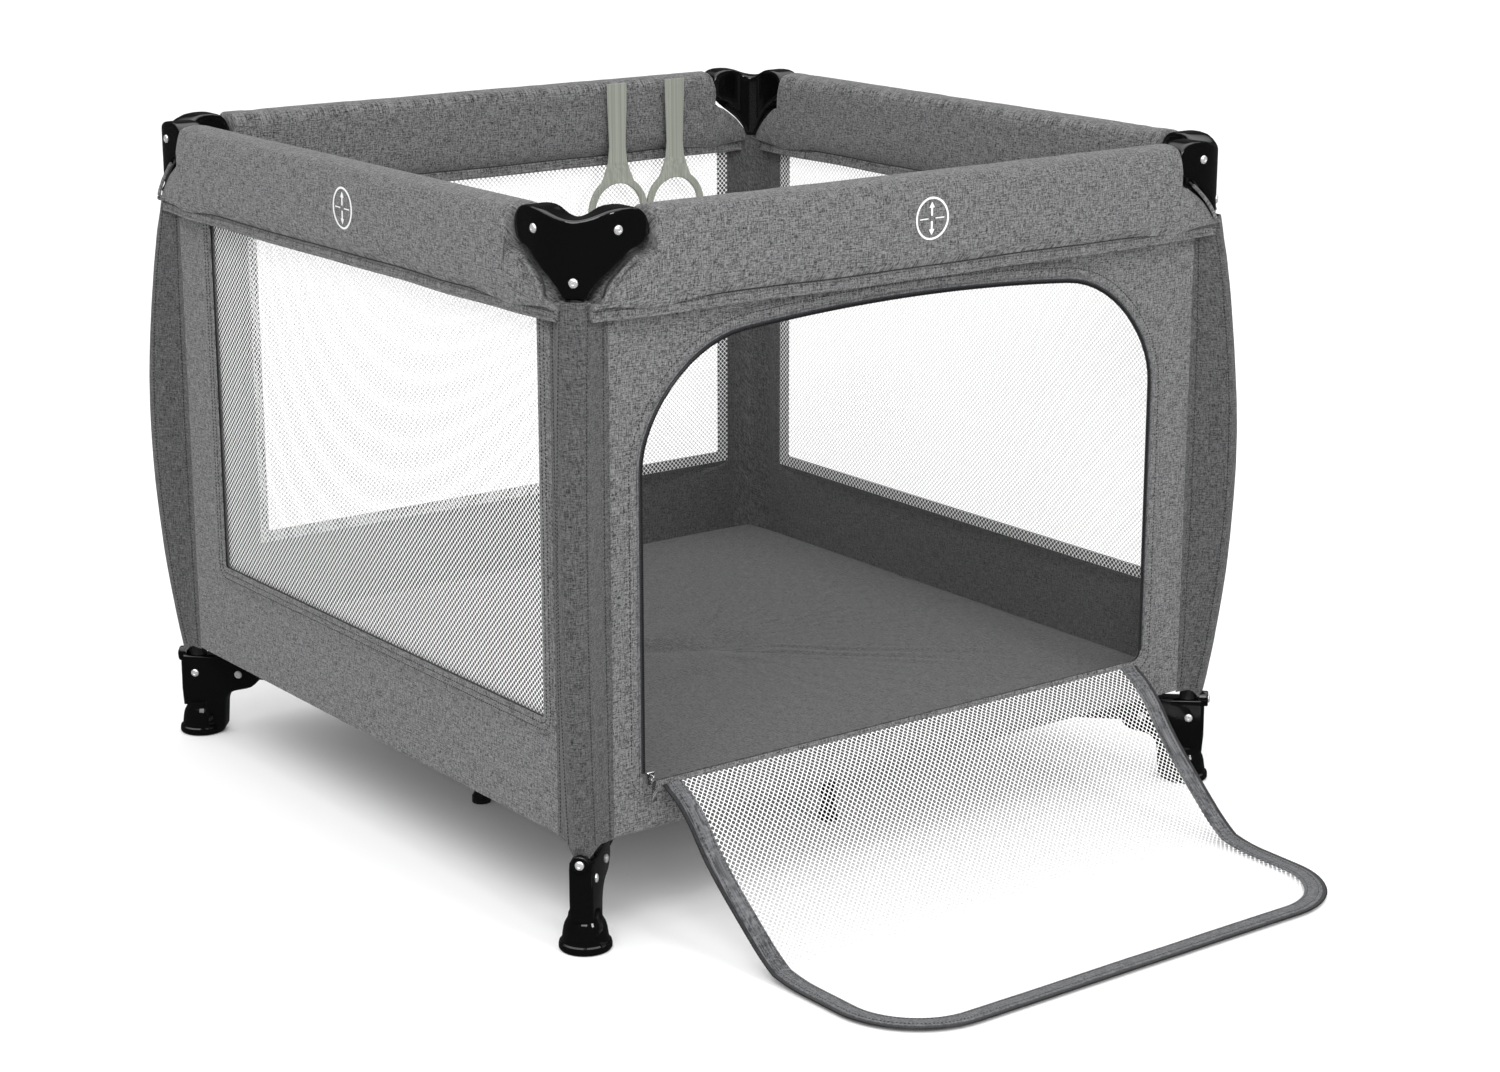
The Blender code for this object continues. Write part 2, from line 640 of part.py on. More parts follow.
# ---------------------------------------------------------------- base
def make_base_bar(name, sx, sy, first):
    """A base bar on its diagonal. The first one stands on its foot pin, and the others on their hub pins."""
    out = math.atan2(sy, sx)
    radius = FOOT_PIN_RADIUS if first else HUB_PIN
    place = (math.cos(out) * radius, math.sin(out) * radius, BAR_Z)
    facing = out + math.pi if first else out
    at = Matrix.Translation(place) @ Matrix.Rotation(facing, 4, "Z")
    pinned_tube(name, BASE_BAR, BAR_R, BAR_WALL, at, painted_steel())


def hub_slot(hub, name, turn, pin, radius):
    """A slot that is open below and outwards, with its pin, so that a bar can turn down out of the hub."""
    swing = math.hypot(radius, TUBE_TAIL) + 0.0008
    room = radius + RUN_CLEAR
    facing = Matrix.Rotation(turn, 4, "Z")
    low, high = (pin - swing, -room, BAR_Z - HUB_BELOW - 0.01), (HUB_R + 0.01, room, BAR_Z + swing)
    slot = box_mesh(f"{name}_slot", low, high)
    cut(hub, f"{name}_slot", slot, facing)
    ends = ((pin, -room - 0.004, BAR_Z), (pin, room + 0.004, BAR_Z))
    fuse(hub, f"{name}_pin", cylinder_mesh(f"{name}_pin", PIN_R, *ends, PIN_SIDES), facing)


def make_hub():
    """The hub that the base bars meet in, with the centre foot under it."""
    low = BAR_Z - HUB_BELOW
    name = "hub"
    hub = add(name, cylinder_mesh(name, HUB_R, (0, 0, low), (0, 0, HUB_TOP), HUB_SIDES), satin_black())
    for k in range(4):
        hub_slot(hub, f"hub_bar_{k}", math.radians(45 + 90 * k), HUB_PIN, BAR_R)
        hub_slot(hub, f"hub_arm_{k}", math.radians(90 * k), ARM_PIN, ARM_R)
    foot = [(0, 0), (CENTRE_FOOT_R, 0), (CENTRE_FOOT_R, 0.006)]
    foot += [(0.013, 0.014), (0.013, low + 0.002), (0, low + 0.002)]
    fuse(hub, "hub_centre_foot", turned_mesh("hub_centre_foot", foot, ROUND_SIDES))


def make_side_arm(name, quarter):
    """A support arm from the hub to the middle of a side, with its small leg."""
    at = side_place(quarter) @ Matrix.Rotation(-math.pi / 2, 4, "Z") @ Matrix.Translation((ARM_PIN, 0, BAR_Z))
    reach = ARM_REACH - ARM_PIN
    path = [(-TUBE_TAIL, 0, 0), (reach + 0.006, 0, 0)]
    arm = add(name, tube_mesh(name, path, ARM_R), satin_black(), at)
    ends = ((0, -2 * ARM_R, 0), (0, 2 * ARM_R, 0))
    cut(arm, f"{name}_hole", cylinder_mesh(f"{name}_hole", PIN_R + RUN_CLEAR, *ends, PIN_SIDES))
    rim = [(0, -BAR_Z), (ARM_FOOT_R, -BAR_Z), (ARM_FOOT_R, -BAR_Z + 0.008)]
    rim += [(0.0085, -BAR_Z + 0.012), (0.0085, 0), (0, 0)]
    leg = turned_mesh(f"{name}_leg", rim, TUBE_SIDES)
    fuse(arm, f"{name}_leg", leg, Matrix.Translation((reach, 0, 0)))


# ---------------------------------------------------------------- fabric
def make_wall(side):
    """A side wall between the posts. The front one has the doorway."""
    turn, _ = SIDES[side]
    outline = [(-WALL_END, WALL_LOW), (WALL_END, WALL_LOW), (WALL_END, WALL_TOP), (-WALL_END, WALL_TOP)]
    hole = None
    if side == "front":
        shoulder = DOOR_TOP - DOOR_ROUND
        hole = [(DOOR_LEFT, DOOR_SILL), (DOOR_RIGHT, DOOR_SILL)]
        hole += arc((DOOR_RIGHT - DOOR_ROUND, shoulder), DOOR_ROUND, 0, 90, 8)
        hole += arc((DOOR_LEFT + DOOR_ROUND, shoulder), DOOR_ROUND, 90, 180, 8)
    name = f"{side}_wall"
    at = side_place(turn) @ Matrix.Translation((0, -WALL_Y, 0))
    add(name, slab_mesh(name, outline, WALL_T, hole), melange(), at)


def make_floor_sheet():
    """The fabric floor inside the walls, cut off at its corners where it meets the feet."""
    edge = WALL_Y - WALL_T / 2 - SOFT_CLEAR
    tuck = edge - (WALL_END - 0.030)
    outline = []
    for sx, sy in ((-1, -1), (1, -1), (1, 1), (-1, 1)):
        ends = [(sx * (edge - tuck), sy * edge), (sx * edge, sy * (edge - tuck))]
        outline += ends if sx * sy < 0 else ends[::-1]
    mesh = slab_mesh("floor_sheet", outline, FLOOR_T)
    flat = Matrix.Translation((0, 0, FLOOR_Z + FLOOR_T / 2)) @ Matrix.Rotation(-math.pi / 2, 4, "X")
    add("floor_sheet", mesh, dark_melange(), flat)


def make_mattress():
    """The loose mattress on the floor sheet."""
    half = WALL_Y - MATTRESS_GAP
    low = FLOOR_Z + FLOOR_T + CLEAR
    at = Matrix.Translation((0, 0, low + MATTRESS_T / 2))
    low, high = (-half, -half, -MATTRESS_T / 2), (half, half, MATTRESS_T / 2)
    mattress = add("mattress", box_mesh("mattress", low, high), dark_melange(), at)
    rounding = mattress.modifiers.new("edges", "BEVEL")
    rounding.width = 0.008
    rounding.segments = 2


def flap_half_width(share):
    """Both sides of the flap in X, at a share of its length from the sill to its end."""
    return (
        DOOR_LEFT + FLAP_EDGE + FLAP_TAPER * share,
        DOOR_RIGHT - 0.008 - FLAP_TAPER * share,
    )


def make_flap():
    """The net flap of the doorway, in two pieces: the slope from the sill, and what lies on the floor."""
    crease_share = FLAP_SLOPED / (FLAP_SLOPED + FLAP_FLAT)
    left, right = flap_half_width(0)
    near_left, near_right = flap_half_width(crease_share)
    end_left, end_right = flap_half_width(1)
    low, high = CREASE_GAP / 2 - FLAP_SLOPED, -0.001
    outline = [(near_left, low), (near_right, low), (right, high), (left, high)]
    mesh = slab_mesh("door_flap_upper", outline, FLAP_T)
    hang = Matrix.Rotation(FLAP_SLOPE - math.pi / 2, 4, "X")
    at = Matrix.Translation((0, FLAP_HINGE_Y, FLAP_HINGE_Z)) @ hang
    add("door_flap_upper", mesh, white_net(), at)

    near, far = -CREASE_GAP / 2, -FLAP_FLAT
    outline = [(near_left, near)]
    outline += arc((end_left + FLAP_ROUND, far + FLAP_ROUND), FLAP_ROUND, 180, 270, 6)
    outline += arc((end_right - FLAP_ROUND, far + FLAP_ROUND), FLAP_ROUND, 270, 360, 6)
    outline += [(near_right, near)]
    mesh = slab_mesh("door_flap_lower", outline, FLAP_T)
    at = Matrix.Translation((0, CREASE_Y, FLAP_T / 2)) @ Matrix.Rotation(-math.pi / 2, 4, "X")
    add("door_flap_lower", mesh, white_net(), at)


def make_zip_slider():
    """The zip's slider with its puller, on the straight run of the zip up the doorway's left side."""
    x = DOOR_LEFT + SLIDER_SIZE[0] / 2 + 0.003
    y = FLAP_HINGE_Y
    width, depth, tall = SLIDER_SIZE
    at = Matrix.Translation((x, y, DOOR_SILL + tall / 2 + 0.002))
    low, high = (-width / 2, -depth / 2, -tall / 2), (width / 2, depth / 2, tall / 2)
    slider = add("zip_slider", box_mesh("zip_slider", low, high), chrome(), at)
    pull = box_mesh("zip_puller", (-0.0025, -depth / 2 - 0.003, -0.024), (0.0025, -depth / 2 + 0.001, 0.002))
    fuse(slider, "zip_puller", pull)


def make_pull_strap(name, x):
    """A pull-up strap that ends in a round ring, hanging down the inner side of the rear rail's cover."""
    y = HALF_SPAN - COVER_HALF - SOFT_CLEAR - STRAP_T / 2
    at = Matrix.Translation((x, y, COVER_TOP))
    half = STRAP_W / 2
    ring_z = -STRAP_LONG - RING_R
    strap = [(-half, 0), (half, 0), (half * 0.8, -STRAP_LONG * 0.75), (half * 1.3, -STRAP_LONG - 0.008)]
    strap += [(-half * 1.3, -STRAP_LONG - 0.008), (-half * 0.8, -STRAP_LONG * 0.75)]
    obj = add(name, slab_mesh(name, strap, STRAP_T), grey_webbing(), at)
    inner = RING_R - RING_SECTION
    ring = slab_mesh(
        f"{name}_ring",
        arc((0, ring_z), RING_R, 0, 345, 23),
        STRAP_T + 0.0012,
        arc((0, ring_z), inner, 0, 345, 23),
    )
    fuse(obj, f"{name}_ring", ring)


def main():
    clear_scene()
    for name, (sx, sy) in CORNERS.items():
        make_corner(name, sx, sy)
        make_base_bar(f"{name}_base_bar", sx, sy, name == "front_left")
    for side, (turn, _) in SIDES.items():
        make_side_frame(side)
        make_side_arm(f"{side}_support_arm", turn)
        make_wall(side)
    make_hub()
    make_floor_sheet()
    make_mattress()
    make_flap()
    make_zip_slider()
    for name, from_corner in zip(("left_pull_strap", "right_pull_strap"), STRAPS_IN):
        make_pull_strap(name, HALF_SPAN - from_corner)


main()
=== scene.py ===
# %% [markdown]
# # A folding playpen
# Four sewn sides hang between bowed posts. Padded covers hide the folding rails, and one side has a zipped
# doorway whose net flap lies open on the floor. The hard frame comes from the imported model. This lesson adds
# what a maker would sew, mould and polish around it, one piece at a time.

# %% The frame
import json
import math

import bpy
import numpy as np
from mathutils import Matrix, Vector, noise

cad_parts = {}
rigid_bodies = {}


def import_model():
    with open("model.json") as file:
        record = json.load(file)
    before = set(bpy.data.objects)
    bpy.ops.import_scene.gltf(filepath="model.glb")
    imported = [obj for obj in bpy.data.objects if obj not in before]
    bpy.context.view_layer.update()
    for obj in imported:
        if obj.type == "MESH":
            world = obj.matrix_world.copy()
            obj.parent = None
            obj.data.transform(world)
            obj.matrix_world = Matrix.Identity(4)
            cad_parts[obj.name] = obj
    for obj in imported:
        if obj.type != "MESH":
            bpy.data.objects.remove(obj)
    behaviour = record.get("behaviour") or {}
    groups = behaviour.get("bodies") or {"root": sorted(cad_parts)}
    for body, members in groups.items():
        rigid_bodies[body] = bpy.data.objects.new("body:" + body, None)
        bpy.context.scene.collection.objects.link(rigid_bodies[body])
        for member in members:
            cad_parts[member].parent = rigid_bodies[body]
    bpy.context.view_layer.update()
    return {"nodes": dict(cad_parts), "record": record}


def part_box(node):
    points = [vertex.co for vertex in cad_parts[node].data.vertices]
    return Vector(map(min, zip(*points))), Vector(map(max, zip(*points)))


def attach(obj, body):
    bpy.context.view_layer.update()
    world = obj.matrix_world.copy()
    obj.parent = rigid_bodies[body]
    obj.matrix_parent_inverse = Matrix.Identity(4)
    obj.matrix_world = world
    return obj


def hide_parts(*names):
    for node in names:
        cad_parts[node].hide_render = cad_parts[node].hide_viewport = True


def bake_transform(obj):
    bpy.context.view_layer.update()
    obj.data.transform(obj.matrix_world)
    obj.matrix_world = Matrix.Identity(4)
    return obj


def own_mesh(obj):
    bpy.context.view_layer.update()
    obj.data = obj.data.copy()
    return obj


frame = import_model()

# %% [markdown]
# ## Sizes
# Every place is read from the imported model's own boxes, so the sewn pieces meet the frame without fitting.
# The front side is modelled first, and the other three are that side turned about the middle of the pen.

# %% Sizes read from the frame
def middle(node):
    low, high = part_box(node)
    return (low + high) / 2


RAIL = -middle("front_wall").y            # middle of the pen to the line of the top rails
WALL_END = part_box("front_wall")[1].x
WALL_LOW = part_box("front_wall")[0].z
COVER_LOW, COVER_TOP = (corner.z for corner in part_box("front_rail_cover"))
COVER_HALF = (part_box("front_rail_cover")[1].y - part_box("front_rail_cover")[0].y) / 2
HEAD_HALF = -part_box("front_left_head")[0].y - RAIL
HEAD_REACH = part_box("front_left_head")[1].x + RAIL
THROAT_Z, HEIGHT = (corner.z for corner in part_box("front_left_head"))
POST_XY = -middle("front_left_boot").x
BOOT_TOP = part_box("front_left_boot")[1].z
BOOT_R = (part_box("front_left_boot")[1].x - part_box("front_left_boot")[0].x) / 2
SLEEVE_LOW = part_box("front_left_post_sleeve")[0].z
BAR_Z = middle("front_left_base_bar").z
MATTRESS_LOW, MATTRESS_TOP = (corner.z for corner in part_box("mattress"))
MATTRESS_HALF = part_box("mattress")[1].x
print("rail line", round(RAIL, 4), "height", round(HEIGHT, 4), "post", round(POST_XY, 4))

# %% Which body carries what
DIAGONAL = math.sqrt(0.5)
CORNERS = {"front_left": 0, "front_right": 1, "rear_right": 2, "rear_left": 3}
SIDES = {"front": 0, "right": 1, "rear": 2, "left": 3}
CARRIER = {
    "front": "front_left_corner",
    "left": "front_left_corner",
    "right": "front_right_corner",
    "rear": "rear_left_corner",
}
# The half rails at each side's own left and right, and the heads at its ends.
ENDS = {
    "front": ("front_left_corner", "front_right_corner"),
    "right": ("front_right_corner", "rear_right_corner"),
    "rear": ("rear_right_corner", "rear_left_corner"),
    "left": ("rear_left_corner", "front_left_corner"),
}


def quarter(turns):
    """The front side's place, turned about the middle of the pen by quarter turns."""
    return Matrix.Rotation(turns * math.pi / 2, 4, "Z")


print("sides", list(SIDES), "corners", list(CORNERS))

# %% [markdown]
# ## Small helpers
# Blender's operators act on whatever is selected, so each helper first selects only its own object. A finished
# piece keeps its place in its mesh and its object at the origin.

# %% Selecting, applying and copying
def select_only(obj):
    bpy.ops.object.select_all(action="DESELECT")
    obj.select_set(True)
    bpy.context.view_layer.objects.active = obj
    return obj


def shape(obj, kind, **settings):
    """Adds one modifier with these settings, and applies it."""
    select_only(obj)
    modifier = obj.modifiers.new(kind.lower(), kind)
    for key, value in settings.items():
        setattr(modifier, key, value)
    bpy.ops.object.modifier_apply(modifier=modifier.name)
    return obj


def settle(obj, name, degrees=40):
    """Names a finished piece, puts its place into its mesh and smooths it."""
    select_only(obj)
    bpy.ops.object.transform_apply(location=True, rotation=True, scale=True)
    bpy.ops.object.shade_smooth_by_angle(angle=math.radians(degrees))
    obj.name = obj.data.name = name
    return obj


def copy_of(obj, name, move):
    """A copy with a mesh of its own, moved by a matrix."""
    twin = obj.copy()
    twin.data = obj.data.copy()
    twin.name = twin.data.name = name
    bpy.context.scene.collection.objects.link(twin)
    twin.data.transform(move)
    return twin


def join(first, *others):
    select_only(first)
    for other in others:
        other.select_set(True)
    bpy.ops.object.join()
    return first


def dress(obj, paint, body=None):
    """Gives a piece its finish and the body that it moves with."""
    if not obj.data.materials:
        obj.data.materials.append(paint)
    obj.data.materials[0] = paint
    if body:
        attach(obj, body)
    return obj


def new_object(name, points, edges=(), faces=()):
    """A mesh object with these points, edges and faces, linked to the scene."""
    mesh = bpy.data.meshes.new(name)
    mesh.from_pydata([tuple(point) for point in points], list(edges), list(faces))
    obj = bpy.data.objects.new(name, mesh)
    bpy.context.scene.collection.objects.link(obj)
    return obj


def paint_with(obj, *paints):
    for paint in paints:
        obj.data.materials.append(paint)
    return obj


# %% Points of a mesh
def points_of(obj):
    flat = np.empty(len(obj.data.vertices) * 3, np.float32)
    obj.data.vertices.foreach_get("co", flat)
    return flat.reshape(-1, 3).astype(float)


def set_points(obj, points):
    obj.data.vertices.foreach_set("co", np.asarray(points, np.float32).ravel())
    obj.data.update()


def smooth_step(x):
    x = min(max(x, 0.0), 1.0)
    return x * x * (3 - 2 * x)


# %% Cloth from rows of points
def cloth(name, rows, closed=False, caps=False):
    """A sheet through rows of points. closed joins each row's end to its start, and caps fills both ends."""
    across = len(rows[0])
    verts = [point for row in rows for point in row]
    faces = []
    for i in range(len(rows) - 1):
        for k in range(across if closed else across - 1):
            a, b = i * across + k, i * across + (k + 1) % across
            faces.append((a, b, b + across, a + across))
    if caps:
        faces += [tuple(reversed(range(across))), tuple(range(len(verts) - across, len(verts)))]
    obj = new_object(name, verts, faces=faces)
    obj.data.validate()
    obj.data.shade_smooth()
    return obj


def face_out(obj):
    """Turns the faces of a closed piece outwards."""
    select_only(obj)
    bpy.ops.object.mode_set(mode="EDIT")
    bpy.ops.mesh.select_all(action="SELECT")
    bpy.ops.mesh.normals_make_consistent(inside=False)
    bpy.ops.object.mode_set(mode="OBJECT")
    return obj


print("cloth is made from rows of points")


# %% UV maps, strips and their sections
def lay_uv(obj, along):
    """A UV map in metres. It runs along one level axis, and over an edge from the side onto the top."""
    mesh = obj.data
    layer = mesh.uv_layers.get("cloth") or mesh.uv_layers.new(name="cloth")
    corner_points = np.empty(len(mesh.loops), np.int64)
    mesh.loops.foreach_get("vertex_index", corner_points)
    at = points_of(obj)[corner_points]
    level, across = (at[:, 0], at[:, 1]) if along == "x" else (at[:, 1], at[:, 0])
    layer.data.foreach_set("uv", np.column_stack([level, at[:, 2] + across]).astype(np.float32).ravel())
    return obj


def uv_from_points(obj, place):
    """A UV map that gives each point what place says for its number and its position."""
    layer = obj.data.uv_layers.new(name="cloth")
    for loop in obj.data.loops:
        layer.data[loop.index].uv = place(loop.vertex_index, obj.data.vertices[loop.vertex_index].co)
    return obj


def sweep(name, path, normals, section, closed=False):
    """A strip with a closed section of (across, out) offsets, along a path on a surface with these normals."""
    path = [Vector(p) for p in path]
    rows = []
    for i, point in enumerate(path):
        before = path[i - 1] if closed or i else path[0]
        after = path[(i + 1) % len(path)] if closed or i < len(path) - 1 else path[-1]
        normal = Vector(normals[i])
        across = (after - before).normalized().cross(normal).normalized()
        rows.append([point + across * a + normal * out for a, out in section])
    if closed:
        rows.append(rows[0])
    return face_out(cloth(name, rows, closed=True, caps=not closed))


def flat_section(width, thick):
    """A flat strip's section with rounded edges."""
    half, round_off = width / 2, min(thick, width) * 0.35
    return [
        (-half, thick * 0.3), (-half + round_off, thick), (0, thick * 1.05), (half - round_off, thick),
        (half, thick * 0.3), (half - round_off, 0), (-half + round_off, 0),
    ]


def circle(radius, count, middle_z=0.0):
    turns = [2 * math.pi * k / count for k in range(count)]
    return [(radius * math.cos(turn), middle_z + radius * math.sin(turn)) for turn in turns]


def round_section(radius, sides=8):
    return circle(radius, sides)


print("strips are swept along paths")


# %% Rows of stitches and filled outlines
def evenly(path, pitch):
    """Points at an even pitch along a polyline, each with its direction."""
    path = [Vector(p) for p in path]
    lengths = [0.0]
    for a, b in zip(path, path[1:]):
        lengths.append(lengths[-1] + (b - a).length)
    found, k = [], 0
    for n in range(int(lengths[-1] / pitch)):
        at = (n + 0.5) * pitch
        while lengths[k + 1] < at:
            k += 1
        share = (at - lengths[k]) / (lengths[k + 1] - lengths[k])
        found.append((path[k].lerp(path[k + 1], share), (path[k + 1] - path[k]).normalized(), k))
    return found


def flat_curve(name, loops, thick, rounding):
    """A filled flat curve from closed loops of (x, z), standing in the XZ plane, made a mesh."""
    data = bpy.data.curves.new(name, "CURVE")
    data.dimensions, data.fill_mode = "2D", "BOTH"
    data.extrude, data.bevel_depth, data.bevel_resolution = thick / 2 - rounding, rounding, 3
    for loop in loops:
        spline = data.splines.new("POLY")
        spline.points.add(len(loop) - 1)
        spline.use_cyclic_u = True
        for point, (x, z) in zip(spline.points, loop):
            point.co = (x, z, 0, 1)
    obj = bpy.data.objects.new(name, data)
    bpy.context.scene.collection.objects.link(obj)
    select_only(obj)
    bpy.ops.object.convert(target="MESH")
    obj = bpy.context.object
    obj.data.transform(Matrix.Rotation(math.pi / 2, 4, "X"))
    shape(obj, "WELD", merge_threshold=0.00002)
    return face_out(obj)


STITCH_PITCH, STITCH_LONG, STITCH_R = 0.0040, 0.0030, 0.00045


def sew(obj, runs, thread):
    """Rows of raised stitches on a piece. Each run is a path and its normals, or one normal for all of it."""
    verts, faces = [], []
    for path, normals in runs:
        for at, way, k in evenly(path, STITCH_PITCH):
            out = Vector(normals[k] if isinstance(normals, list) else normals)
            side = way.cross(out) * STITCH_R
            start = len(verts)
            for along in (-0.5, 0.5):
                verts.append(at + way * STITCH_LONG * along - out * STITCH_R * 0.5)
            verts += [at - side, at + out * STITCH_R * 1.6, at + side, at - out * STITCH_R]
            for a, b in ((2, 3), (3, 4), (4, 5), (5, 2)):
                faces += [(start, start + b, start + a), (start + 1, start + a, start + b)]
    rows = paint_with(new_object("stitches", verts, faces=faces), obj.data.materials[0], thread)
    rows.data.polygons.foreach_set("material_index", [1] * len(faces))
    if len(obj.data.materials) < 2:
        obj.data.materials.append(thread)
    return join(obj, rows)


print("stitches every", STITCH_PITCH)

# %% [markdown]
# ## Finishes
# Three effects are used by more than one finish, so each is a node group: a heathered weave for the fabric,
# a fine moulded grain for plastic and paint, and the open cells of the net. The groups only give colours,
# masks and heights. The shader itself, with its fixed values, stays in each material.

# %% Building node groups
def new_group(name, inputs, outputs):
    """A shader node group with named sockets, and its input and output nodes."""
    group = bpy.data.node_groups.new(name, "ShaderNodeTree")
    for label, kind, value in inputs:
        socket = group.interface.new_socket(name=label, in_out="INPUT", socket_type=f"NodeSocket{kind}")
        if value is not None:
            socket.default_value = value
    for label, kind in outputs:
        group.interface.new_socket(name=label, in_out="OUTPUT", socket_type=f"NodeSocket{kind}")
    return group, group.nodes.new("NodeGroupInput"), group.nodes.new("NodeGroupOutput")


def node(tree, kind, links=None, **settings):
    """A node with its settings, whose inputs are linked or given a value."""
    made = tree.nodes.new(f"ShaderNode{kind}")
    for key, value in settings.items():
        setattr(made, key, value)
    for key, value in (links or {}).items():
        if isinstance(value, bpy.types.NodeSocket):
            tree.links.new(value, made.inputs[key])
        else:
            made.inputs[key].default_value = value
    return made


def maths(tree, operation, a, b=0.0, c=0.0):
    return node(tree, "Math", {0: a, 1: b, 2: c}, operation=operation).outputs[0]


print("nodes are made and linked by node()")

# %% The heathered weave
def heather_group():
    """Pale and dark fibres spun together, woven in two directions."""
    group, given, result = new_group(
        "heather",
        [("Vector", "Vector", None), ("Light", "Color", (0.3, 0.3, 0.3, 1)),
         ("Dark", "Color", (0.1, 0.1, 0.1, 1)),
         ("Fleck", "Float", 1.0)],
        [("Colour", "Color"), ("Height", "Float")],
    )
    where = node(group, "VectorMath", {0: given.outputs["Vector"], "Scale": given.outputs["Fleck"]},
                 operation="SCALE").outputs[0]
    threads = []
    for stretch in ((230, 1350, 1), (1350, 260, 1)):
        stretched = node(group, "VectorMath", {0: where, 1: stretch}, operation="MULTIPLY").outputs[0]
        threads.append(node(group, "TexNoise", {"Vector": stretched, "Scale": 1.0, "Detail": 2.0}).outputs[0])
    both = maths(group, "ADD", threads[0], threads[1])
    flecks = node(group, "MapRange", {"Value": both, 1: 0.74, 2: 1.26}).outputs[0]
    slubs = []
    for stretch in ((62, 760, 1), (640, 70, 1)):
        stretched = node(group, "VectorMath", {0: where, 1: stretch}, operation="MULTIPLY").outputs[0]
        slubs.append(node(group, "TexNoise", {"Vector": stretched, "Scale": 1.0, "Detail": 1.0}).outputs[0])
    two_slubs = maths(group, "ADD", slubs[0], slubs[1])
    slub = node(group, "MapRange", {"Value": two_slubs, 1: 0.75, 2: 1.25}).outputs[0]
    shade = maths(group, "MULTIPLY_ADD", slub, 0.55, flecks)
    shade = node(group, "MapRange", {"Value": shade, 1: 0.27, 2: 1.26}).outputs[0]
    mixed = node(group, "Mix", {0: shade, 6: given.outputs["Dark"], 7: given.outputs["Light"]}, data_type="RGBA")
    group.links.new(mixed.outputs[2], result.inputs["Colour"])
    group.links.new(flecks, result.inputs["Height"])
    return group


print("weave ready")

# %% The moulded grain
def grain_group():
    """A fine grain, and slow changes in how much a surface shines."""
    group, given, result = new_group(
        "moulded_grain",
        [("Vector", "Vector", None), ("Grain", "Float", 1500.0), ("Dull", "Float", 0.3), ("Shine", "Float", 0.1)],
        [("Roughness", "Float"), ("Height", "Float")],
    )
    fine = node(
        group, "TexNoise", {"Vector": given.outputs["Vector"], "Scale": given.outputs["Grain"], "Detail": 2.0}
    )
    slow = node(group, "TexNoise", {"Vector": given.outputs["Vector"], "Scale": 35.0, "Detail": 4.0})
    rough = node(group, "MapRange", {"Value": slow.outputs[0], 1: 0.3, 2: 0.7, 3: given.outputs["Shine"],
                                     4: given.outputs["Dull"]})
    group.links.new(rough.outputs[0], result.inputs["Roughness"])
    group.links.new(fine.outputs[0], result.inputs["Height"])
    return group


print("grain ready")

# %% The cells of the net
NET_PITCH = 0.0066                        # from one row of cells to the next but one


def net_group():
    """Staggered open cells between crossing threads. The mask is 1 on the threads and 0 in the cells."""
    group, given, result = new_group(
        "net_cells",
        [("Vector", "Vector", None), ("Open", "Float", 0.4)],
        [("Threads", "Float"), ("Height", "Float")],
    )
    parts = node(group, "SeparateXYZ", {0: given.outputs["Vector"]})
    waves = []
    for axis in (0, 1):
        phase = maths(group, "MULTIPLY", parts.outputs[axis], 2 * math.pi / NET_PITCH)
        waves.append(maths(group, "COSINE", phase))
    cells = maths(group, "ABSOLUTE", maths(group, "MULTIPLY", maths(group, "ADD", waves[0], waves[1]), 0.5))
    edge = maths(group, "SUBTRACT", cells, given.outputs["Open"])
    threads = node(group, "MapRange", {"Value": edge, 1: -0.05, 2: 0.05, 3: 1.0, 4: 0.0}).outputs[0]
    group.links.new(threads, result.inputs["Threads"])
    group.links.new(threads, result.inputs["Height"])
    return group


HEATHER, GRAIN, NET = heather_group(), grain_group(), net_group()
print("groups", [g.name for g in bpy.data.node_groups])

# %% From a group to a material
def new_material(name, fixed, coords="UV"):
    """A material with fixed shader values. It returns the node tree, the shader and the coordinates to read."""
    made = bpy.data.materials.new(name)
    made.use_nodes = True
    tree = made.node_tree
    shader = tree.nodes["Principled BSDF"]
    for key, value in fixed.items():
        shader.inputs[key].default_value = value
    if coords == "UV":
        source = node(tree, "UVMap", uv_map="cloth").outputs[0]
    else:
        source = node(tree, "TexCoord").outputs["Object"]
    return made, tree, shader, source


def use_group(tree, group, links):
    made = tree.nodes.new("ShaderNodeGroup")
    made.node_tree = group
    for key, value in links.items():
        if isinstance(value, bpy.types.NodeSocket):
            tree.links.new(value, made.inputs[key])
        else:
            made.inputs[key].default_value = value
    return made


def add_bump(tree, shader, height, strength, distance):
    bump = node(tree, "Bump", {"Height": height, "Strength": strength, "Distance": distance})
    tree.links.new(bump.outputs[0], shader.inputs["Normal"])


def woven(name, light, dark, fleck=1.0, coords="UV", strength=0.5):
    made, tree, shader, source = new_material(
        name,
        {"Roughness": 0.93, "Sheen Weight": 0.12, "Sheen Roughness": 0.6, "Specular IOR Level": 0.15},
        coords,
    )
    group = use_group(tree, HEATHER, {"Vector": source, "Light": (*light, 1), "Dark": (*dark, 1), "Fleck": fleck})
    tree.links.new(group.outputs["Colour"], shader.inputs["Base Color"])
    add_bump(tree, shader, group.outputs["Height"], strength, 0.0006)
    return made


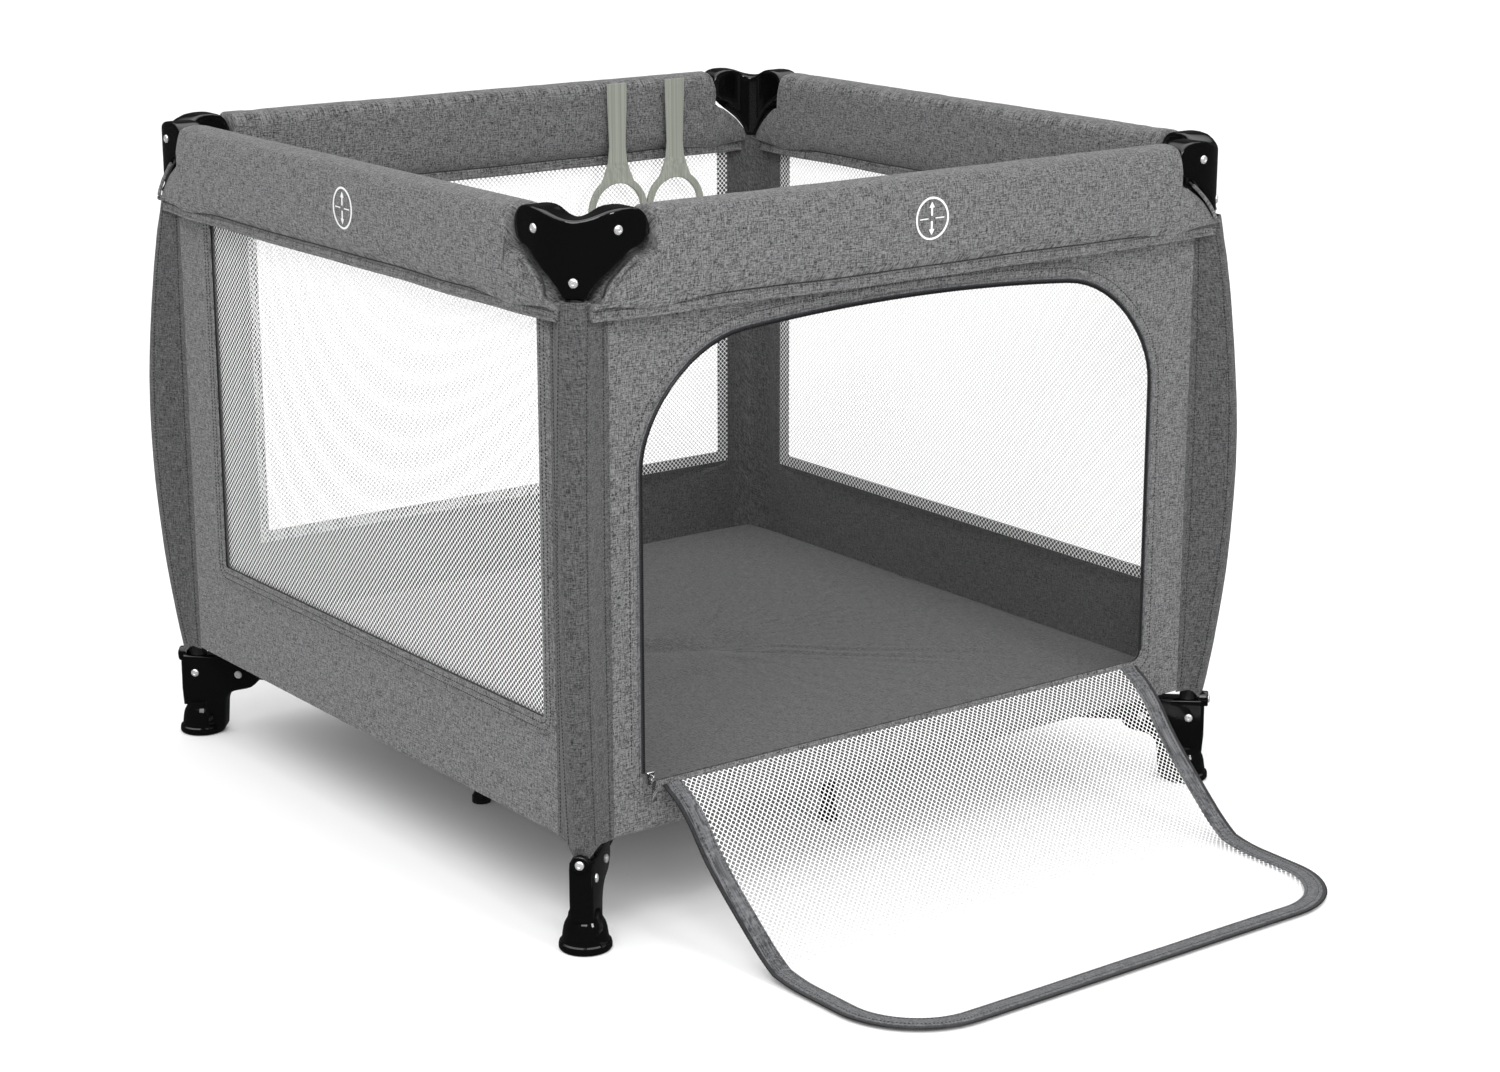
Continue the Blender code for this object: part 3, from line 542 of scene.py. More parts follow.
def moulded(name, colour, shine, dull, grain, strength, metallic=0.0, coat=0.0):
    fixed = {"Base Color": (*colour, 1), "Metallic": metallic, "Coat Weight": coat, "Coat Roughness": 0.05}
    made, tree, shader, source = new_material(name, fixed, "Object")
    group = use_group(tree, GRAIN, {"Vector": source, "Grain": grain, "Dull": dull, "Shine": shine})
    tree.links.new(group.outputs["Roughness"], shader.inputs["Roughness"])
    add_bump(tree, shader, group.outputs["Height"], strength, 0.0003)
    return made


def netting(name, colour, opening):
    made, tree, shader, source = new_material(name, {"Base Color": (*colour, 1), "Roughness": 0.7})
    group = use_group(tree, NET, {"Vector": source, "Open": opening})
    tree.links.new(group.outputs["Threads"], shader.inputs["Alpha"])
    add_bump(tree, shader, group.outputs["Height"], 0.3, 0.0004)
    return made


print("three kinds of finish: woven, moulded, netting")

# %% The finishes of this pen
FABRIC = woven("grey_heather", (0.234, 0.234, 0.236), (0.014, 0.014, 0.015))
# The sleeves' heather is the side cloth's heather made about half as bright: painted shade on sleeves that turn
# away from the light.
SHADED_SLEEVE_CLOTH = woven("sleeve_heather_painted_shade", (0.124, 0.124, 0.126), (0.012, 0.012, 0.013))
# The lining heather is dark partly as its own colour and partly as painted shade: it covers the inside of the pen,
# the mattress and the floor cloth, which lie in shade.
LINING_WITH_PAINTED_SHADE = woven("dark_heather_with_painted_shade", (0.120, 0.120, 0.121), (0.026, 0.026, 0.027))
# The dark thread is used for stitches, and also for dark lines that paint the shade in the covers' creases and
# round the heads.
THREAD_AND_SHADE = woven("dark_thread_and_shade", (0.035, 0.035, 0.036), (0.012, 0.012, 0.012), 3.0, "Object")
BINDING = woven("binding_heather", (0.175, 0.178, 0.185), (0.030, 0.031, 0.034))
TAPE = woven("zip_tape", (0.035, 0.035, 0.038), (0.008, 0.008, 0.009), 2.0)
WEBBING = woven("grey_green_webbing", (0.33, 0.345, 0.30), (0.22, 0.23, 0.195), 2.0, "Object", 0.25)
NETTING = netting("white_netting", (0.90, 0.90, 0.90), 0.27)
GLOSS = moulded("gloss_black", (0.0025, 0.0025, 0.0028), 0.04, 0.10, 240.0, 0.012, coat=0.0)
SATIN = moulded("satin_black", (0.010, 0.010, 0.011), 0.28, 0.42, 1800.0, 0.15)
PAINT = moulded("black_powder_coat", (0.013, 0.013, 0.014), 0.30, 0.45, 1200.0, 0.25)
NICKEL = moulded("bright_nickel", (0.92, 0.92, 0.92), 0.16, 0.30, 700.0, 0.03, metallic=0.65)
SLIDER_METAL = moulded("slider_metal", (0.55, 0.55, 0.56), 0.18, 0.30, 700.0, 0.03, metallic=1.0)
PRINT = moulded("white_print", (0.82, 0.82, 0.82), 0.5, 0.7, 2200.0, 0.3)
print("materials", len(bpy.data.materials))

# %% [markdown]
# ## Camera, floor and light
# The pen stands on a plain pale floor. A large soft lamp stands at the front left and a small one in front, and a
# bright even sky fills the shadows. Glossy surfaces see a dark sky with one bright patch overhead, so the black
# mouldings stay deep black and get clean highlights on their upper edges.

# %% Camera, floor and lamps
scene = bpy.context.scene
bpy.ops.object.select_all(action="DESELECT")
CAMERA_TURN, CAMERA_DOWN = math.radians(-36.81), math.radians(15.32)
bpy.ops.object.camera_add(
    location=(-1.998, -2.807, 1.2156), rotation=(math.pi / 2 - CAMERA_DOWN, 0, CAMERA_TURN)
)
camera = bpy.context.object
camera.data.lens = 71.96
camera.data.sensor_width = 36.0
camera.data.clip_end = 60
scene.camera = camera
scene.view_settings.view_transform = "Standard"

bpy.ops.mesh.primitive_plane_add(size=40, location=(0, 0, -0.0005))
floor = bpy.context.object
floor.name = "studio_floor"
floor_paint = bpy.data.materials.new("pale_floor")
floor_paint.use_nodes = True
FLOOR_FINISH = {"Base Color": (0.93, 0.93, 0.93, 1), "Roughness": 0.9, "Specular IOR Level": 0.1,
                "Emission Color": (1, 1, 1, 1), "Emission Strength": 0.05}
for key, value in FLOOR_FINISH.items():
    floor_paint.node_tree.nodes["Principled BSDF"].inputs[key].default_value = value
paint_with(floor, floor_paint)
floor.visible_glossy = False              # black gloss would show the white floor as a grey veil

print("camera", [round(v, 3) for v in camera.location], "lens", camera.data.lens)

# %% Sky and lamps
world = bpy.data.worlds.new("studio")
world.use_nodes = True
tree = world.node_tree
ray_kind, ray_way = node(tree, "LightPath"), node(tree, "TexCoord")
upward = node(tree, "SeparateXYZ", {0: ray_way.outputs["Generated"]}).outputs["Z"]
open_sky = node(tree, "MapRange", {0: upward, 1: 0.0, 2: 0.9, 3: 0.26, 4: 1.50}).outputs[0]
soft_box = node(tree, "MapRange", {0: upward, 1: 0.55, 2: 0.85, 3: 0.05, 4: 2.4}).outputs[0]
level = node(tree, "MapRange", {0: ray_kind.outputs["Is Glossy Ray"], 3: open_sky, 4: soft_box}).outputs[0]
sky = tree.nodes["Background"]
sky.inputs[0].default_value = (1, 1, 1, 1)
tree.links.new(level, sky.inputs[1])
scene.world = world


def lamp(name, at, size, watts):
    """A square soft lamp that faces the middle of the pen."""
    data = bpy.data.lights.new(name, "AREA")
    data.size, data.energy = size, watts
    obj = bpy.data.objects.new(name, data)
    bpy.context.scene.collection.objects.link(obj)
    obj.location = at
    obj.rotation_euler = (Vector((0, 0, 0.4)) - Vector(at)).to_track_quat("-Z", "Y").to_euler()
    return obj


lamp("key_lamp", (-2.3, -2.6, 3.3), 2.4, 88)
lamp("front_lamp", (0.3, -3.8, 2.0), 0.8, 28)

# %% [markdown]
# ## The hard frame
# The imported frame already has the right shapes, so its pieces only get finishes: powder-coated steel for the
# tubes, satin plastic for the joints under the cloth, and glossy plastic for the mouldings that show.

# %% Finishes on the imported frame
CAD_FINISHES = {
    "gloss_black_plastic": GLOSS,
    "satin_black_plastic": SATIN,
    "black_painted_steel": PAINT,
    "grey_melange_fabric": FABRIC,
    "dark_grey_fabric": LINING_WITH_PAINTED_SHADE,
    "white_net": NETTING,
    "black_tape": TAPE,
    "grey_webbing": WEBBING,
    "chrome": NICKEL,
}
HARD_SLOTS = ("gloss_black_plastic", "satin_black_plastic", "black_painted_steel")
WELD_GAP, EDGE_ROUND = 0.00005, 0.0008
node_slots = {part["node"]: part["material_slot"] for part in frame["record"]["subparts"]}
for node_name, slot_name in node_slots.items():
    obj = frame["nodes"][node_name]
    for material_slot in obj.material_slots:
        material_slot.material = CAD_FINISHES[slot_name]
    if slot_name not in HARD_SLOTS:
        continue
    # The loose triangles are joined and their corners rounded by live modifiers, so the mesh stays as packed.
    weld = obj.modifiers.new("weld", "WELD")
    weld.merge_threshold = WELD_GAP
    bevel = obj.modifiers.new("bevel", "BEVEL")
    bevel.width, bevel.segments, bevel.angle_limit = EDGE_ROUND, 2, math.radians(40)
    bevel.harden_normals = False
print("nodes with a finish", len(node_slots))

# %% [markdown]
# ## Outlines of the openings
# A window or doorway is a hole in a sheet of cloth. The sheet is built as rings: the first ring runs round the
# hole, the last round the sheet's own edge, so the weave bends neatly round the hole and a hem can follow it.

# %% Rounded outlines
ARC_STEPS, EDGE_STEPS = 14, 30
CROWN = 0.0065                            # how far the doorway's top is crowned


def part_way(a, b, share):
    return (a[0] + (b[0] - a[0]) * share, a[1] + (b[1] - a[1]) * share)


def outline(box, rounds, spread=0.0):
    """Points round a box (x0, x1, z0, z1), rounded at its corners, anticlockwise from the lower left."""
    x0, x1, z0, z1 = box
    points = []
    corners = [(x0, z0, 1, 1, 180), (x1, z0, -1, 1, 270), (x1, z1, -1, -1, 0), (x0, z1, 1, -1, 90)]
    for (x, z, sx, sz, start), radius in zip(corners, rounds):
        for k in range(ARC_STEPS + 1):
            turn = math.radians(start + 90 * k / ARC_STEPS)
            reach = radius + spread
            middle_x, middle_z = x + sx * radius, z + sz * radius
            points.append((middle_x + reach * math.cos(turn), middle_z + reach * math.sin(turn)))
    full = []
    for k, point in enumerate(points):
        full.append(point)
        if k % (ARC_STEPS + 1) == ARC_STEPS:
            following = points[(k + 1) % len(points)]
            full += [part_way(point, following, step / EDGE_STEPS) for step in range(1, EDGE_STEPS)]
    if z1 > COVER_LOW:
        return full
    # The doorway's top is not straight: it is highest over its middle and lower towards both rounds.
    crowned = []
    for x, z in full:
        off = (x - (x0 + x1) / 2) / ((x1 - x0) / 2 - 0.09)
        crowned.append((x, z + (CROWN - 2.1 * CROWN * off * off) * smooth_step((z - 0.42) / 0.19)))
    return crowned


def to_edge(points, box):
    """Each point sent straight out from the middle of the hole to the sheet's own edge."""
    x0, x1, z0, z1 = box
    opposite = points[2 * (ARC_STEPS + EDGE_STEPS)]
    mid_x, mid_z = part_way(points[0], opposite, 0.5)
    ends = []
    for x, z in points:
        dx, dz = x - mid_x, z - mid_z
        reach = min(
            ((x1 if dx > 0 else x0) - mid_x) / dx if abs(dx) > 1e-9 else 1e9,
            ((z1 if dz > 0 else z0) - mid_z) / dz if abs(dz) > 1e-9 else 1e9,
        )
        ends.append((mid_x + dx * reach, mid_z + dz * reach))
    for corner in ((x0, z0), (x1, z0), (x1, z1), (x0, z1)):
        nearest = min(range(len(ends)), key=lambda k: math.dist(ends[k], corner))
        ends[nearest] = corner
    return ends


print("points round a hole", 4 * (ARC_STEPS + EDGE_STEPS))

# %% [markdown]
# ## The sewn sides
# Each side is a sheet of heathered cloth with a net window, and a darker lining behind it. The lining's dark tone
# is partly its own colour and partly painted shade for the shaded inside of the pen. Around each hole the
# cloth is folded back into a hem, so it stands slightly proud there and carries two rows of stitches.

# %% Sheets with a hole
SHEET_EDGE = WALL_END - 0.0150            # the side's cloth meets the corner sleeve here
SHEET_BOX = (-SHEET_EDGE, SHEET_EDGE, WALL_LOW + 0.004, COVER_LOW + 0.012)
OUTER_Y, NET_Y, INNER_Y = -RAIL - 0.0018, -RAIL + 0.0036, -RAIL + 0.0014
HEM, CLOTH_THICK = 0.019, 0.0009
NET_EDGE = 0.0125                         # how far the net runs on past a window's edge, over the lining
WINDOW_LOW, WINDOW_TOP = 0.2350, SHEET_BOX[3] - 0.004
WINDOWS = {
    "front": (-0.3630, 0.3360, 0.1650, 0.6270),
    "right": (-0.3600, 0.3600, WINDOW_LOW, WINDOW_TOP),
    "rear": (-0.3750, 0.3200, WINDOW_LOW, WINDOW_TOP),
    "left": (-0.3200, 0.3750, WINDOW_LOW, WINDOW_TOP),
}
WINDOW_ROUND = 0.004
ROUNDS = {"front": (0.012, 0.012, 0.130, 0.130)}


def ripple(x, z, seed, size):
    """Slow waves in hanging cloth."""
    at = Vector((x * 7 + seed * 9.1, z * 4.5, seed * 3.7))
    return size * (noise.noise(at) + 0.4 * noise.noise(at * 2.7))


def side_sheet(name, side, y, out, hem):
    """One sheet of a side, modelled at the front. out is -1 where the hem stands proud towards the front."""
    window, rounds = WINDOWS[side], ROUNDS.get(side, (WINDOW_ROUND,) * 4)
    hole = outline(window, rounds)
    edge = to_edge(hole, SHEET_BOX)
    x0, x1, z0, z1 = SHEET_BOX
    rows = []
    seed = SIDES[side] + (5 if out > 0 else 1)
    for spread, proud in ((0.0, 0.0), (0.0008, hem), (HEM - 0.001, hem), (HEM, 0.0)):
        ring = outline(window, rounds, spread)
        rows.append([(min(max(x, x0), x1), y + out * proud, min(max(z, z0), z1)) for x, z in ring])
    last = [(x, z) for x, _, z in rows[-1]]
    for k in range(1, 7):
        share = k / 6
        ring = [part_way(a, b, share) for a, b in zip(last, edge)]
        slack = math.sin(math.pi * share) ** 0.5 if share < 1 else 0
        rows.append([
            (x, y + out * (0.0012 * slack + ripple(x, z, seed, 0.0016 * slack)), z) for x, z in ring
        ])
    return lay_uv(cloth(name, rows, closed=True), "x")


print("windows", list(WINDOWS))


# %% Where the hems are sewn
def hem_runs(side, y, distances):
    """Paths for rows of stitches round a window, at these distances from its edge."""
    runs = []
    for distance in distances:
        ring = outline(WINDOWS[side], ROUNDS.get(side, (WINDOW_ROUND,) * 4), distance)
        ring = [(x, z) for x, z in ring if SHEET_BOX[0] < x < SHEET_BOX[1] and z < SHEET_BOX[3] - 0.003]
        if side == "front":
            runs.append(([(x, y, z) for x, z in ring], (0, -1, 0)))
            continue
        # An open window has no hem at its top, so the run starts there: down, along and up again.
        top = max(range(len(ring)), key=lambda k: (ring[k][1], -ring[k][0]))
        ring = ring[top:] + ring[:top]
        gaps = [k for k in range(1, len(ring)) if abs(ring[k][0] - ring[k - 1][0]) > 0.05]
        for piece in ([ring] if not gaps else [ring[: gaps[0]], ring[gaps[0]:]]):
            if len(piece) > 2:
                runs.append(([(x, y, z) for x, z in piece], (0, -1, 0)))
    return runs


# %% Making the four sides
def squash_side(piece):
    """Gives a piece a mesh of its own."""
    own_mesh(piece)


LEAST_SHARE = 0.301                       # the least of its outline that a cut sheet may fill


def declare_sheet(obj, wide, tall):
    """Works out the cloth area of a sheet cut from a blank this wide and tall: half its faces' area, since
    its cloth has two faces, held between LEAST_SHARE of the blank and the whole blank. The area is not kept.
    """
    area = sum(face.area for face in obj.data.polygons) / 2
    area = min(max(area, LEAST_SHARE * wide * tall), wide * tall)
    return obj


for side, turns in SIDES.items():
    outer = paint_with(side_sheet("outer", side, OUTER_Y, -1, 0.0009), FABRIC)
    distances = (0.0125,) if side == "front" else (0.006, 0.013)
    outer = sew(outer, hem_runs(side, OUTER_Y - 0.0013, distances), THREAD_AND_SHADE)
    inner = side_sheet("inner", side, INNER_Y, 1, 0.0006)
    for piece, name, paint, slot_name in (
        (outer, f"{side}_side_cloth", FABRIC, "grey_melange_fabric"),
        (inner, f"{side}_side_lining", LINING_WITH_PAINTED_SHADE, "dark_grey_fabric"),
    ):
        shape(piece, "SOLIDIFY", thickness=CLOTH_THICK, offset=0)
        piece.data.transform(quarter(turns))
        declare_sheet(piece, SHEET_BOX[1] - SHEET_BOX[0], SHEET_BOX[3] - SHEET_BOX[2])
        dress(settle(piece, name, 60), paint, CARRIER[side])
        squash_side(piece)
    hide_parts(f"{side}_wall")
print("sides made", [f"{side}_side_cloth" for side in SIDES])

# %% [markdown]
# ## The nets
# The windows are filled with a knitted net. Its cells are far too small and many to model, so one thin sheet
# carries them as see-through holes, laid out in metres on its UV map. It is pulled nearly flat by its hems.

# %% Net in three windows
NET_TALL_STEPS, NET_WIDE_STEPS = 16, 32
NET_BELLY = -0.0015                       # how far its middle is blown outwards


def net_rows(window):
    x0, x1, z0, z1 = window[0] - NET_EDGE, window[1] + NET_EDGE, window[2] - NET_EDGE, window[3] + 0.003
    rows = []
    for i in range(NET_TALL_STEPS + 1):
        up = i / NET_TALL_STEPS
        row = []
        for k in range(NET_WIDE_STEPS + 1):
            share = k / NET_WIDE_STEPS
            pull = math.sin(math.pi * share) * math.sin(math.pi * up)
            row.append((x0 + (x1 - x0) * share, NET_Y + NET_BELLY * pull, z0 + (z1 - z0) * up))
        rows.append(row)
    return rows


for side in ("right", "rear", "left"):
    window = WINDOWS[side]
    net = lay_uv(cloth(f"{side}_window_net", net_rows(window)), "x")
    net.data.transform(quarter(SIDES[side]))
    dress(settle(net, f"{side}_window_net"), NETTING, CARRIER[side])
    squash_side(net)

# %% [markdown]
# ## Corner sleeves
# A tube of cloth is sewn round each bowed post and runs on into both sides. Its section is worked out at every
# height: flat where it meets a side, then an S-bend out to the post, and round it. The seam runs down the corner.
# Its heather is the sides' heather made darker, as painted shade on the sleeves, which turn away from the light.

# %% The bow of a post
POST_R = 0.010
BOW = -(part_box("front_left_post")[0].x + POST_XY) - POST_R
BOW_LOW, BOW_TOP = 0.095, THROAT_Z


def post_bow(z):
    """How far the post's middle lies outside the straight line between foot and head, per axis."""
    share = min(max((z - BOW_LOW) / (BOW_TOP - BOW_LOW), 0.0), 1.0)
    return BOW * math.sin(math.pi * share) ** 0.85 if 0 < share < 1 else 0.0


print("bow of a post", round(BOW, 4))

# %% The section and rows of a sleeve
SLEEVE_R = 0.0150
SLEEVE_WIDE = 0.135                       # the flat width that a sleeve is cut to
SLEEVE_TOP = THROAT_Z - 0.0006
S_STEPS, WRAP_STEPS, SLEEVE_ROWS = 16, 14, 110


def sleeve_section(z, radius, start, level):
    """Half of the sleeve at one height, from the front side to the corner line, for the front left corner."""
    centre = -(POST_XY + post_bow(z))
    top = centre - radius
    half = []
    for k in range(S_STEPS):
        share = k / S_STEPS
        x = start + (centre - start) * share
        half.append((x, level + (top - level) * smooth_step(share), share))
    for k in range(WRAP_STEPS // 2 + 1):
        turn = math.radians(270 - 45 * k / (WRAP_STEPS // 2))
        half.append((centre + radius * math.cos(turn), centre + radius * math.sin(turn), 1.0))
    return half


def sleeve_rows(seed):
    rows = []
    for i in range(SLEEVE_ROWS + 1):
        up = i / SLEEVE_ROWS
        height = SLEEVE_LOW + (SLEEVE_TOP - SLEEVE_LOW) * up
        half = sleeve_section(height, SLEEVE_R, -SHEET_EDGE + 0.0005, OUTER_Y)
        row = []
        count = len(half)
        for hand in (0, 1):
            part = half if hand == 0 else half[-2::-1]
            for k, (x, y, share) in enumerate(part):
                order = k if hand == 0 else count - 2 - k
                across = order / (count - 1)
                # The bottom edge rises from the corner to the sides.
                low = SLEEVE_LOW + 0.016 * smooth_step((1 - across) * 1.6)
                z = low + (SLEEVE_TOP - low) * up
                side = 1 if hand else -1
                wave = noise.noise(Vector((across * 3.1 * side + seed, z * 9, seed * 2.3)))
                fine = noise.noise(Vector((across * 5.7 * side - seed, z * 32, seed)))
                gather = smooth_step((z - SLEEVE_TOP + 0.07) / 0.06)
                gather += 0.6 * smooth_step((SLEEVE_LOW + 0.05 - z) / 0.05)
                push = (0.0011 * wave + (0.0003 + 0.0015 * gather) * fine) * min(1, across * 6)
                seam = 0.0010 * math.exp(-(((1 - across) * (count - 1)) ** 2) / 0.8)
                valley = 0.0012 * math.exp(-(((across - 0.42) / 0.09) ** 2))
                out = push - seam - valley
                along, off = x - out * DIAGONAL * share, y - out * (1 - 0.29 * share)
                row.append((along, off, z) if hand == 0 else (off, along, z))
        rows.append(row)
    return rows


def lining_rows():
    """The sleeve's inner wall, a rounded corner that passes inside the post."""
    inside, start = POST_XY - 0.0135, -SHEET_EDGE + 0.0005
    rows = []
    for i in range(13):
        z = WALL_LOW + 0.004 + (SLEEVE_TOP - WALL_LOW - 0.004) * i / 12
        half = []
        for k in range(9):
            share = k / 8
            x = start + (-inside - start) * share
            half.append((x, INNER_Y + (-inside - INNER_Y) * smooth_step(share) * share, z))
        rows.append(half + [(y, x, z) for x, y, z in half[-2::-1]])
    return rows


# %% Making the four sleeves
SEAM_LIFT = 0.0006


for corner, turns in CORNERS.items():
    rows = sleeve_rows(turns * 4.7 + 1.3)
    sleeve = cloth("sleeve", rows)
    # The weave follows the cloth round the post, so its UVs are measured along each row.
    half_way = len(rows[0]) // 2
    lengths = []
    for row in rows:
        run = [0.0]
        for p, q in zip(row, row[1:]):
            run.append(run[-1] + (Vector(q) - Vector(p)).length)
        lengths += run
    uv_from_points(sleeve, lambda index, co: (lengths[index], co.z))
    # The sleeve takes the darker heather, which is painted shade.
    paint_with(sleeve, SHADED_SLEEVE_CLOTH)
    runs = []
    across = len(rows[0])
    for column in (S_STEPS // 2 - 5, S_STEPS - 2):
        for k in (column, across - 1 - column):
            normal = (0, -1, 0) if k < half_way else (-1, 0, 0)
            runs.append(([Vector(row[k]) + Vector(normal) * SEAM_LIFT for row in rows[1:-1]], normal))
    sleeve = sew(sleeve, runs, THREAD_AND_SHADE)
    lining = lay_uv(cloth("lining", lining_rows()), "x")
    for piece, name, paint, slot_name in (
        (sleeve, f"{corner}_sleeve", SHADED_SLEEVE_CLOTH, "grey_melange_fabric"),
        (lining, f"{corner}_sleeve_lining", LINING_WITH_PAINTED_SHADE, "dark_grey_fabric"),
    ):
        shape(piece, "SOLIDIFY", thickness=CLOTH_THICK, offset=0)
        piece.data.transform(quarter(turns))
        dress(settle(piece, name, 60), paint, f"{corner}_corner")
        declare_sheet(piece, SLEEVE_WIDE, SLEEVE_TOP - SLEEVE_LOW)
    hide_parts(f"{corner}_post_sleeve")
print("sleeves", list(CORNERS), "bow", round(BOW, 4))

# %% [markdown]
# ## Outline of a corner head
# The covers end in ears that follow the edge of the mouldings at the corners, so that edge is worked out first.
# It is flat here, with t as the distance from the corner line, and it is bent round the corner later on.

# %% The head's outline
HEAD_BEND = HEAD_REACH - 0.0373           # radius of the bend, and place of its centre
ARC_HALF = HEAD_BEND * math.pi / 4
LOBE_R = 0.0205
LOBE_OUT = HEAD_REACH - HEAD_BEND + ARC_HALF - 0.0030
LOBE_T, LOBE_Z = LOBE_OUT - LOBE_R, HEIGHT - LOBE_R
TONGUE_T, DIP = 0.0095, 0.0100


def head_edge(t):
    """The lowest and highest point of the flat head at a distance t from the corner."""
    t = abs(t)
    if t > LOBE_T:
        reach = math.sqrt(max(LOBE_R**2 - (t - LOBE_T) ** 2, 0.0))
        high = LOBE_Z + reach
    else:
        high = HEIGHT - DIP * (1 - smooth_step(t / 0.036))
    share = min(max(0.0, t - TONGUE_T) / (LOBE_T - TONGUE_T), 1.0)
    low = THROAT_Z + (LOBE_Z - LOBE_R - THROAT_Z) * share**0.62
    if t > LOBE_T:
        low = max(low, LOBE_Z - reach)
    return min(low, high - 0.0002), high


def along_head(d):
    """How far along the head a place is that lies d from the corner of the rail lines."""
    if d >= HEAD_BEND:
        return ARC_HALF + d - HEAD_BEND
    return HEAD_BEND * (math.radians(135) - math.acos(max(d - HEAD_BEND, -HEAD_BEND) / HEAD_BEND))


print("lobe end", round(LOBE_OUT, 4))

# %% [markdown]
# ## Padded rail covers
# Foam under cloth hides each folding rail. The cover is lofted along the rail from one closed section, thinner
# than it should be, and then blown up by the cloth solver so that it swells and creases like sewn padding. Its
# lower flange stays pinned, because there the real cover is stitched through to the side.

# %% The cover's section along a rail
EAR_START, EAR_GAP = 0.0135, 0.0025        # distances from the corner of the rail lines
COVER_LONG = RAIL - EAR_START
SEAM_Z, FLANGE_Z = COVER_LOW + 0.0085, COVER_LOW - 0.002
EAR_DEPTH = 0.66                          # the cover's depth at the heads, as a share of its full depth
SHOULDER = 0.0095                         # length over which an ear rises to the cover's full height


def cover_shape(x):
    """The top of the cover, the share of its full depth and the height of its seam at this place on the rail."""
    d = RAIL - abs(x)
    t = along_head(d)
    if t < LOBE_OUT:
        top = head_edge(max(t - EAR_GAP, 0.0))[0] - EAR_GAP
    else:
        beyond = smooth_step((t - LOBE_OUT + 0.0010) / SHOULDER) ** 0.75
        top = LOBE_Z - EAR_GAP * 1.4 + (COVER_TOP - LOBE_Z + EAR_GAP * 1.4) * beyond
    depth = EAR_DEPTH + (1 - EAR_DEPTH) * smooth_step((d - EAR_START) / 0.080)
    return top, depth, min(SEAM_Z, top - 0.004)


# How deep the padding is, as a share of its full depth, at shares of its height over the seam.
PADDING = [
    (0.56, 0.0), (0.70, 0.022), (0.87, 0.095), (0.95, 0.22), (1.0, 0.34), (1.0, 0.46), (0.995, 0.58),
    (0.985, 0.70), (0.965, 0.80), (0.90, 0.89), (0.76, 0.955),
]


def cover_section(x, slim):
    """Offsets out from the rail line, and heights, from the outer flange over the top to the inner flange."""
    top, depth, seam = cover_shape(x)
    full = (COVER_HALF - 0.001) * depth - slim
    tall = top - seam
    flange = [(0.44, FLANGE_Z + 0.0012), (0.60, FLANGE_Z), (0.66, FLANGE_Z + 0.0028), (0.645, seam - 0.0028)]
    crown = [(0.52, top - slim * 0.5), (0.26, top - slim * 0.2)]
    side = flange + [(share, seam + tall * up) for share, up in PADDING] + crown
    side = [(full * share, z) for share, z in side]
    return side + [(0.0, top)] + [(-out, z) for out, z in side[::-1]]


print("cover from", round(FLANGE_Z, 4), "to", round(COVER_TOP, 4))

# %% The cover before it swells
COVER_STATIONS = 228
PINNED_ROWS = 5                           # points of the flange and seam that stay where they are
PINNED_ENDS = 6                           # stations at both ends that hardly move


def cover_base(slim):
    """The cover before it is blown up, a closed tube round the rail."""
    rows = []
    for k in range(COVER_STATIONS + 1):
        even, dense = 2 * k / COVER_STATIONS - 1, -math.cos(math.pi * k / COVER_STATIONS)
        x = COVER_LONG * (0.45 * even + 0.55 * dense)
        rows.append([(x, -RAIL - out, z) for out, z in cover_section(x, slim)])
    return cloth("cover", rows, closed=True, caps=True), len(rows[0])


print("stations along a cover", COVER_STATIONS)

# %% Blowing up a padded piece
def blow_up(obj, pinned, pressure, cap, slack, frames=20, outward=None):
    """Runs the cloth solver on a piece, keeps it within cap of its start and puts the result in its mesh."""
    start = points_of(obj)
    group = obj.vertex_groups.new(name="pinned")
    for index, weight in pinned.items():
        group.add([index], weight, "REPLACE")
    select_only(obj)
    solver = obj.modifiers.new("padding", "CLOTH")
    stuff = {"quality": 6, "mass": 0.25, "use_pressure": True, "uniform_pressure_force": pressure,
             "vertex_group_mass": "pinned", "shrink_min": -slack, "tension_stiffness": 22,
             "compression_stiffness": 22, "shear_stiffness": 12, "bending_stiffness": 1.2}
    for key, value in stuff.items():
        setattr(solver.settings, key, value)
    solver.settings.effector_weights.gravity = 0.0
    solver.collision_settings.use_collision = False
    solver.collision_settings.use_self_collision = False
    for frame_number in range(1, frames + 1):
        scene.frame_set(frame_number)
    graph = bpy.context.evaluated_depsgraph_get()
    result = obj.evaluated_get(graph).to_mesh()
    flat = np.empty(len(result.vertices) * 3, np.float32)
    result.vertices.foreach_get("co", flat)
    moved = flat.reshape(-1, 3).astype(float) - start
    obj.evaluated_get(graph).to_mesh_clear()
    obj.modifiers.remove(solver)
    scene.frame_set(1)
    far = np.linalg.norm(moved, axis=1)
    moved *= (np.minimum(far, cap) / np.maximum(far, 1e-9))[:, None]
    if outward is not None:
        # Padding is never thinner than what it started from.
        moved = np.maximum(moved * outward, 0.0) * outward + moved * (outward == 0)
    set_points(obj, start + moved)
    return float(np.median(far)), float(far.max())


print("padding is blown up by the cloth solver")

